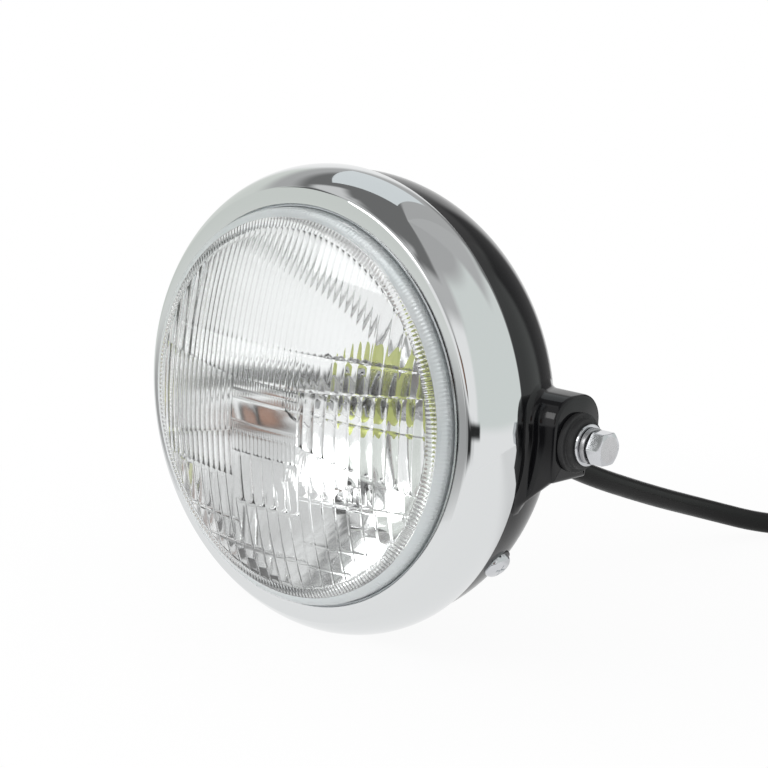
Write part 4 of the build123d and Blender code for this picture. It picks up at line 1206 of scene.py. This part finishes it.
# %% [markdown]
# ## The studio round the lamp
# Chrome shows only what it mirrors, so the studio makes the look of the rim and the reflector. A picture of a
# room could be wrapped round the scene. Even patches laid over white need no file and can be moved one by one.
# Each has an azimuth and an elevation, which are worked out here from the direction of a ray.

# %% The studio round the lamp
MIX_BELOW, MIX_ABOVE, MIX_RESULT = 6, 7, 2  # the colour sockets of a Mix node
world = bpy.data.worlds.new("studio")
scene.world = world
world.use_nodes = True
tree = world.node_tree
tree.nodes.clear()
output = tree.nodes.new("ShaderNodeOutputWorld")
path = tree.nodes.new("ShaderNodeLightPath")
place = tree.nodes.new("ShaderNodeTexCoord")
axes = tree.nodes.new("ShaderNodeSeparateXYZ")
tree.links.new(place.outputs["Generated"], axes.inputs["Vector"])
frontwards = math_node(tree, "MULTIPLY", axes.outputs["Y"], -1.0)
azimuth = math_node(tree, "DEGREES", math_node(tree, "ARCTAN2", axes.outputs["X"], frontwards))
elevation = math_node(tree, "DEGREES", math_node(tree, "ARCSINE", axes.outputs["Z"]))


def between(value, low, high, soft):
    """1 between two values, falling to 0 over a soft edge."""
    rise = smooth_step(tree, value, low - soft, low + soft)
    fall = smooth_step(tree, value, high - soft, high + soft)
    return math_node(tree, "SUBTRACT", rise, fall)


def colour_mix(factor, below, above):
    """Lays one colour over another one, each a value or what another node gives."""
    over = tree.nodes.new("ShaderNodeMix")
    over.data_type = "RGBA"
    tree.links.new(factor, over.inputs["Factor"])
    feed(tree, (over.inputs[MIX_BELOW], over.inputs[MIX_ABOVE]), (below, above))
    return over.outputs[MIX_RESULT]


def patch(below, colour, az, el, soft):
    """Lays an even area of the studio over what is below it."""
    area = math_node(tree, "MULTIPLY", between(azimuth, *az, soft), between(elevation, *el, soft))
    return colour_mix(area, below, (*colour, 1))


print("studio nodes so far:", len(tree.nodes))

# %% [markdown]
# ## The patches of the studio
# Walls and ceiling are grey, with dark gaps and a dark stand low in front. The camera sees plain white behind
# the lamp, and mirrors and glass see the patches. Matt surfaces could be lit by the patches too, but they would
# turn too dark. So rays from a matt surface see an even fill.

# %% The patches of the studio
def grey(level):
    """A colour without any tint."""
    return level, level, level


# Colour, azimuth from the front towards the right, elevation, and softness of the edge, in degrees
STUDIO = [
    ((0.80, 0.84, 0.82), (60, 300), (-6, 60), 3),  # right wall
    ((0.76, 0.79, 0.755), (-125, -30), (-11, 42), 5),  # left wall
    (grey(0.45), (-60, -22), (-15, -11), 1.5),  # the left wall's foot
    (grey(0.58), (-80, 62), (36, 120), 6),  # ceiling in front
    (grey(0.55), (8, 40), (18, 42), 5),  # a grey screen in front
    (grey(0.19), (-75, 45), (63, 120), 3),  # the ceiling's dark top, and a strip of it on the right
    (grey(0.19), (18, 46), (54, 120), 4),
    (grey(0.50), (45, 300), (57, 120), 6),  # ceiling on the right
    (grey(0.55), (138, 300), (36, 120), 6),  # ceiling behind, in two halves
    (grey(0.50), (-300, -76), (28, 120), 5),
    (grey(0.19), (-150, -60), (41, 120), 4),  # the dark round the glowing card
    (grey(0.75), (-84, -50), (46, 60), 3),  # a pale gap in it
    (grey(0.12), (-68, -44), (28, 42), 3),  # a dark flag on the left
    (grey(0.20), (166, 300), (-30, 34), 4),  # dark wall behind, in two halves
    (grey(0.20), (-300, -158), (-30, 34), 4),
    (grey(0.35), (-25, 4), (-16, -4), 4),  # grey, low in front
    (grey(0.03), (4, 52), (-18, -4), 4),  # the dark stand, and its end on the right
    (grey(0.03), (46, 64), (-10, -4), 1.5),
    (grey(0.02), (20, 44), (3, 20), 4),  # the head of the stand
    ((0.36, 0.20, 0.14), (23, 36), (5, 17), 4),  # a warm patch on it
]
FILL = (0.8, 0.8, 0.8, 1)
seen = WHITE
for colour, az, el, soft in STUDIO:
    seen = patch(seen, colour, az, el, soft)
backdrop = colour_mix(path.outputs["Is Camera Ray"], seen, WHITE)
shown = tree.nodes.new("ShaderNodeBackground")
tree.links.new(backdrop, shown.inputs["Color"])
lit = tree.nodes.new("ShaderNodeBackground")
lit.inputs["Color"].default_value = FILL
straight = math_node(tree, "LESS_THAN", path.outputs["Diffuse Depth"], 0.5)
shows = math_node(tree, "MULTIPLY", background_rays(tree, path), straight)
room = blend(tree, shows, lit.outputs["Background"], shown.outputs["Background"])
tree.links.new(room, output.inputs["Surface"])
print("patches in the studio:", len(STUDIO))

# %% [markdown]
# ## The lights
# A softbox stands in front, to the left and above, and lights the lamp. A pale card glows above and behind, for
# the chrome to mirror. The card could be an area light too, but those are rectangles. This one has its four
# corners in chosen directions, so it is a small glowing mesh.


# %% The lights
def aim(azimuth, elevation):
    """A direction from the lamp: azimuth in degrees from its front towards +X, and elevation."""
    az, el = math.radians(azimuth), math.radians(elevation)
    return Vector((math.sin(az) * math.cos(el), -math.cos(az) * math.cos(el), math.sin(el)))


def card(name, corners, distance, radiance, colour):
    """A glowing panel between four directions, seen in reflections but not by the camera."""
    mesh = bpy.data.meshes.new(name)
    mesh.from_pydata([aim(*corner) * distance for corner in corners], [], [(0, 1, 2, 3)])
    panel = bpy.data.objects.new(name, mesh)
    scene.collection.objects.link(panel)
    glowing = bpy.data.materials.new(name)
    glowing.use_nodes = True
    nodes = glowing.node_tree.nodes
    nodes.clear()
    shine = nodes.new("ShaderNodeEmission")
    shine.inputs["Color"].default_value = (*colour, 1)
    shine.inputs["Strength"].default_value = radiance
    end = nodes.new("ShaderNodeOutputMaterial")
    glowing.node_tree.links.new(shine.outputs["Emission"], end.inputs["Surface"])
    mesh.materials.append(glowing)
    panel.visible_camera = False


def softbox(name, azimuth, elevation, distance, size, radiance):
    """An area light that faces the lamp, seen in reflections but not by the camera."""
    place = aim(azimuth, elevation) * distance
    data = bpy.data.lights.new(name, "AREA")
    data.shape = "RECTANGLE"
    data.size, data.size_y = size
    data.energy = radiance * math.pi * size[0] * size[1]
    light = bpy.data.objects.new(name, data)
    light.location = place
    light.rotation_euler = place.to_track_quat("Z", "Y").to_euler()
    light.visible_camera = False
    scene.collection.objects.link(light)


STAND_OFF = 1.2  # metres from the lamp to both lights
CARD_CORNERS = ((-92, 56), (-133, 37), (-164, 46), (-140, 80))
softbox("key", azimuth=-18, elevation=32, distance=STAND_OFF, size=(0.6, 0.44), radiance=3.0)
card("top", CARD_CORNERS, STAND_OFF, radiance=0.88, colour=(0.93, 0.98, 1.0))
scene.view_settings.view_transform = "Standard"
print("one softbox and one card at", STAND_OFF, "m")

# %% [markdown]
# ## The end
# The view layer is brought up to date.

# %% The end
bpy.context.view_layer.update()
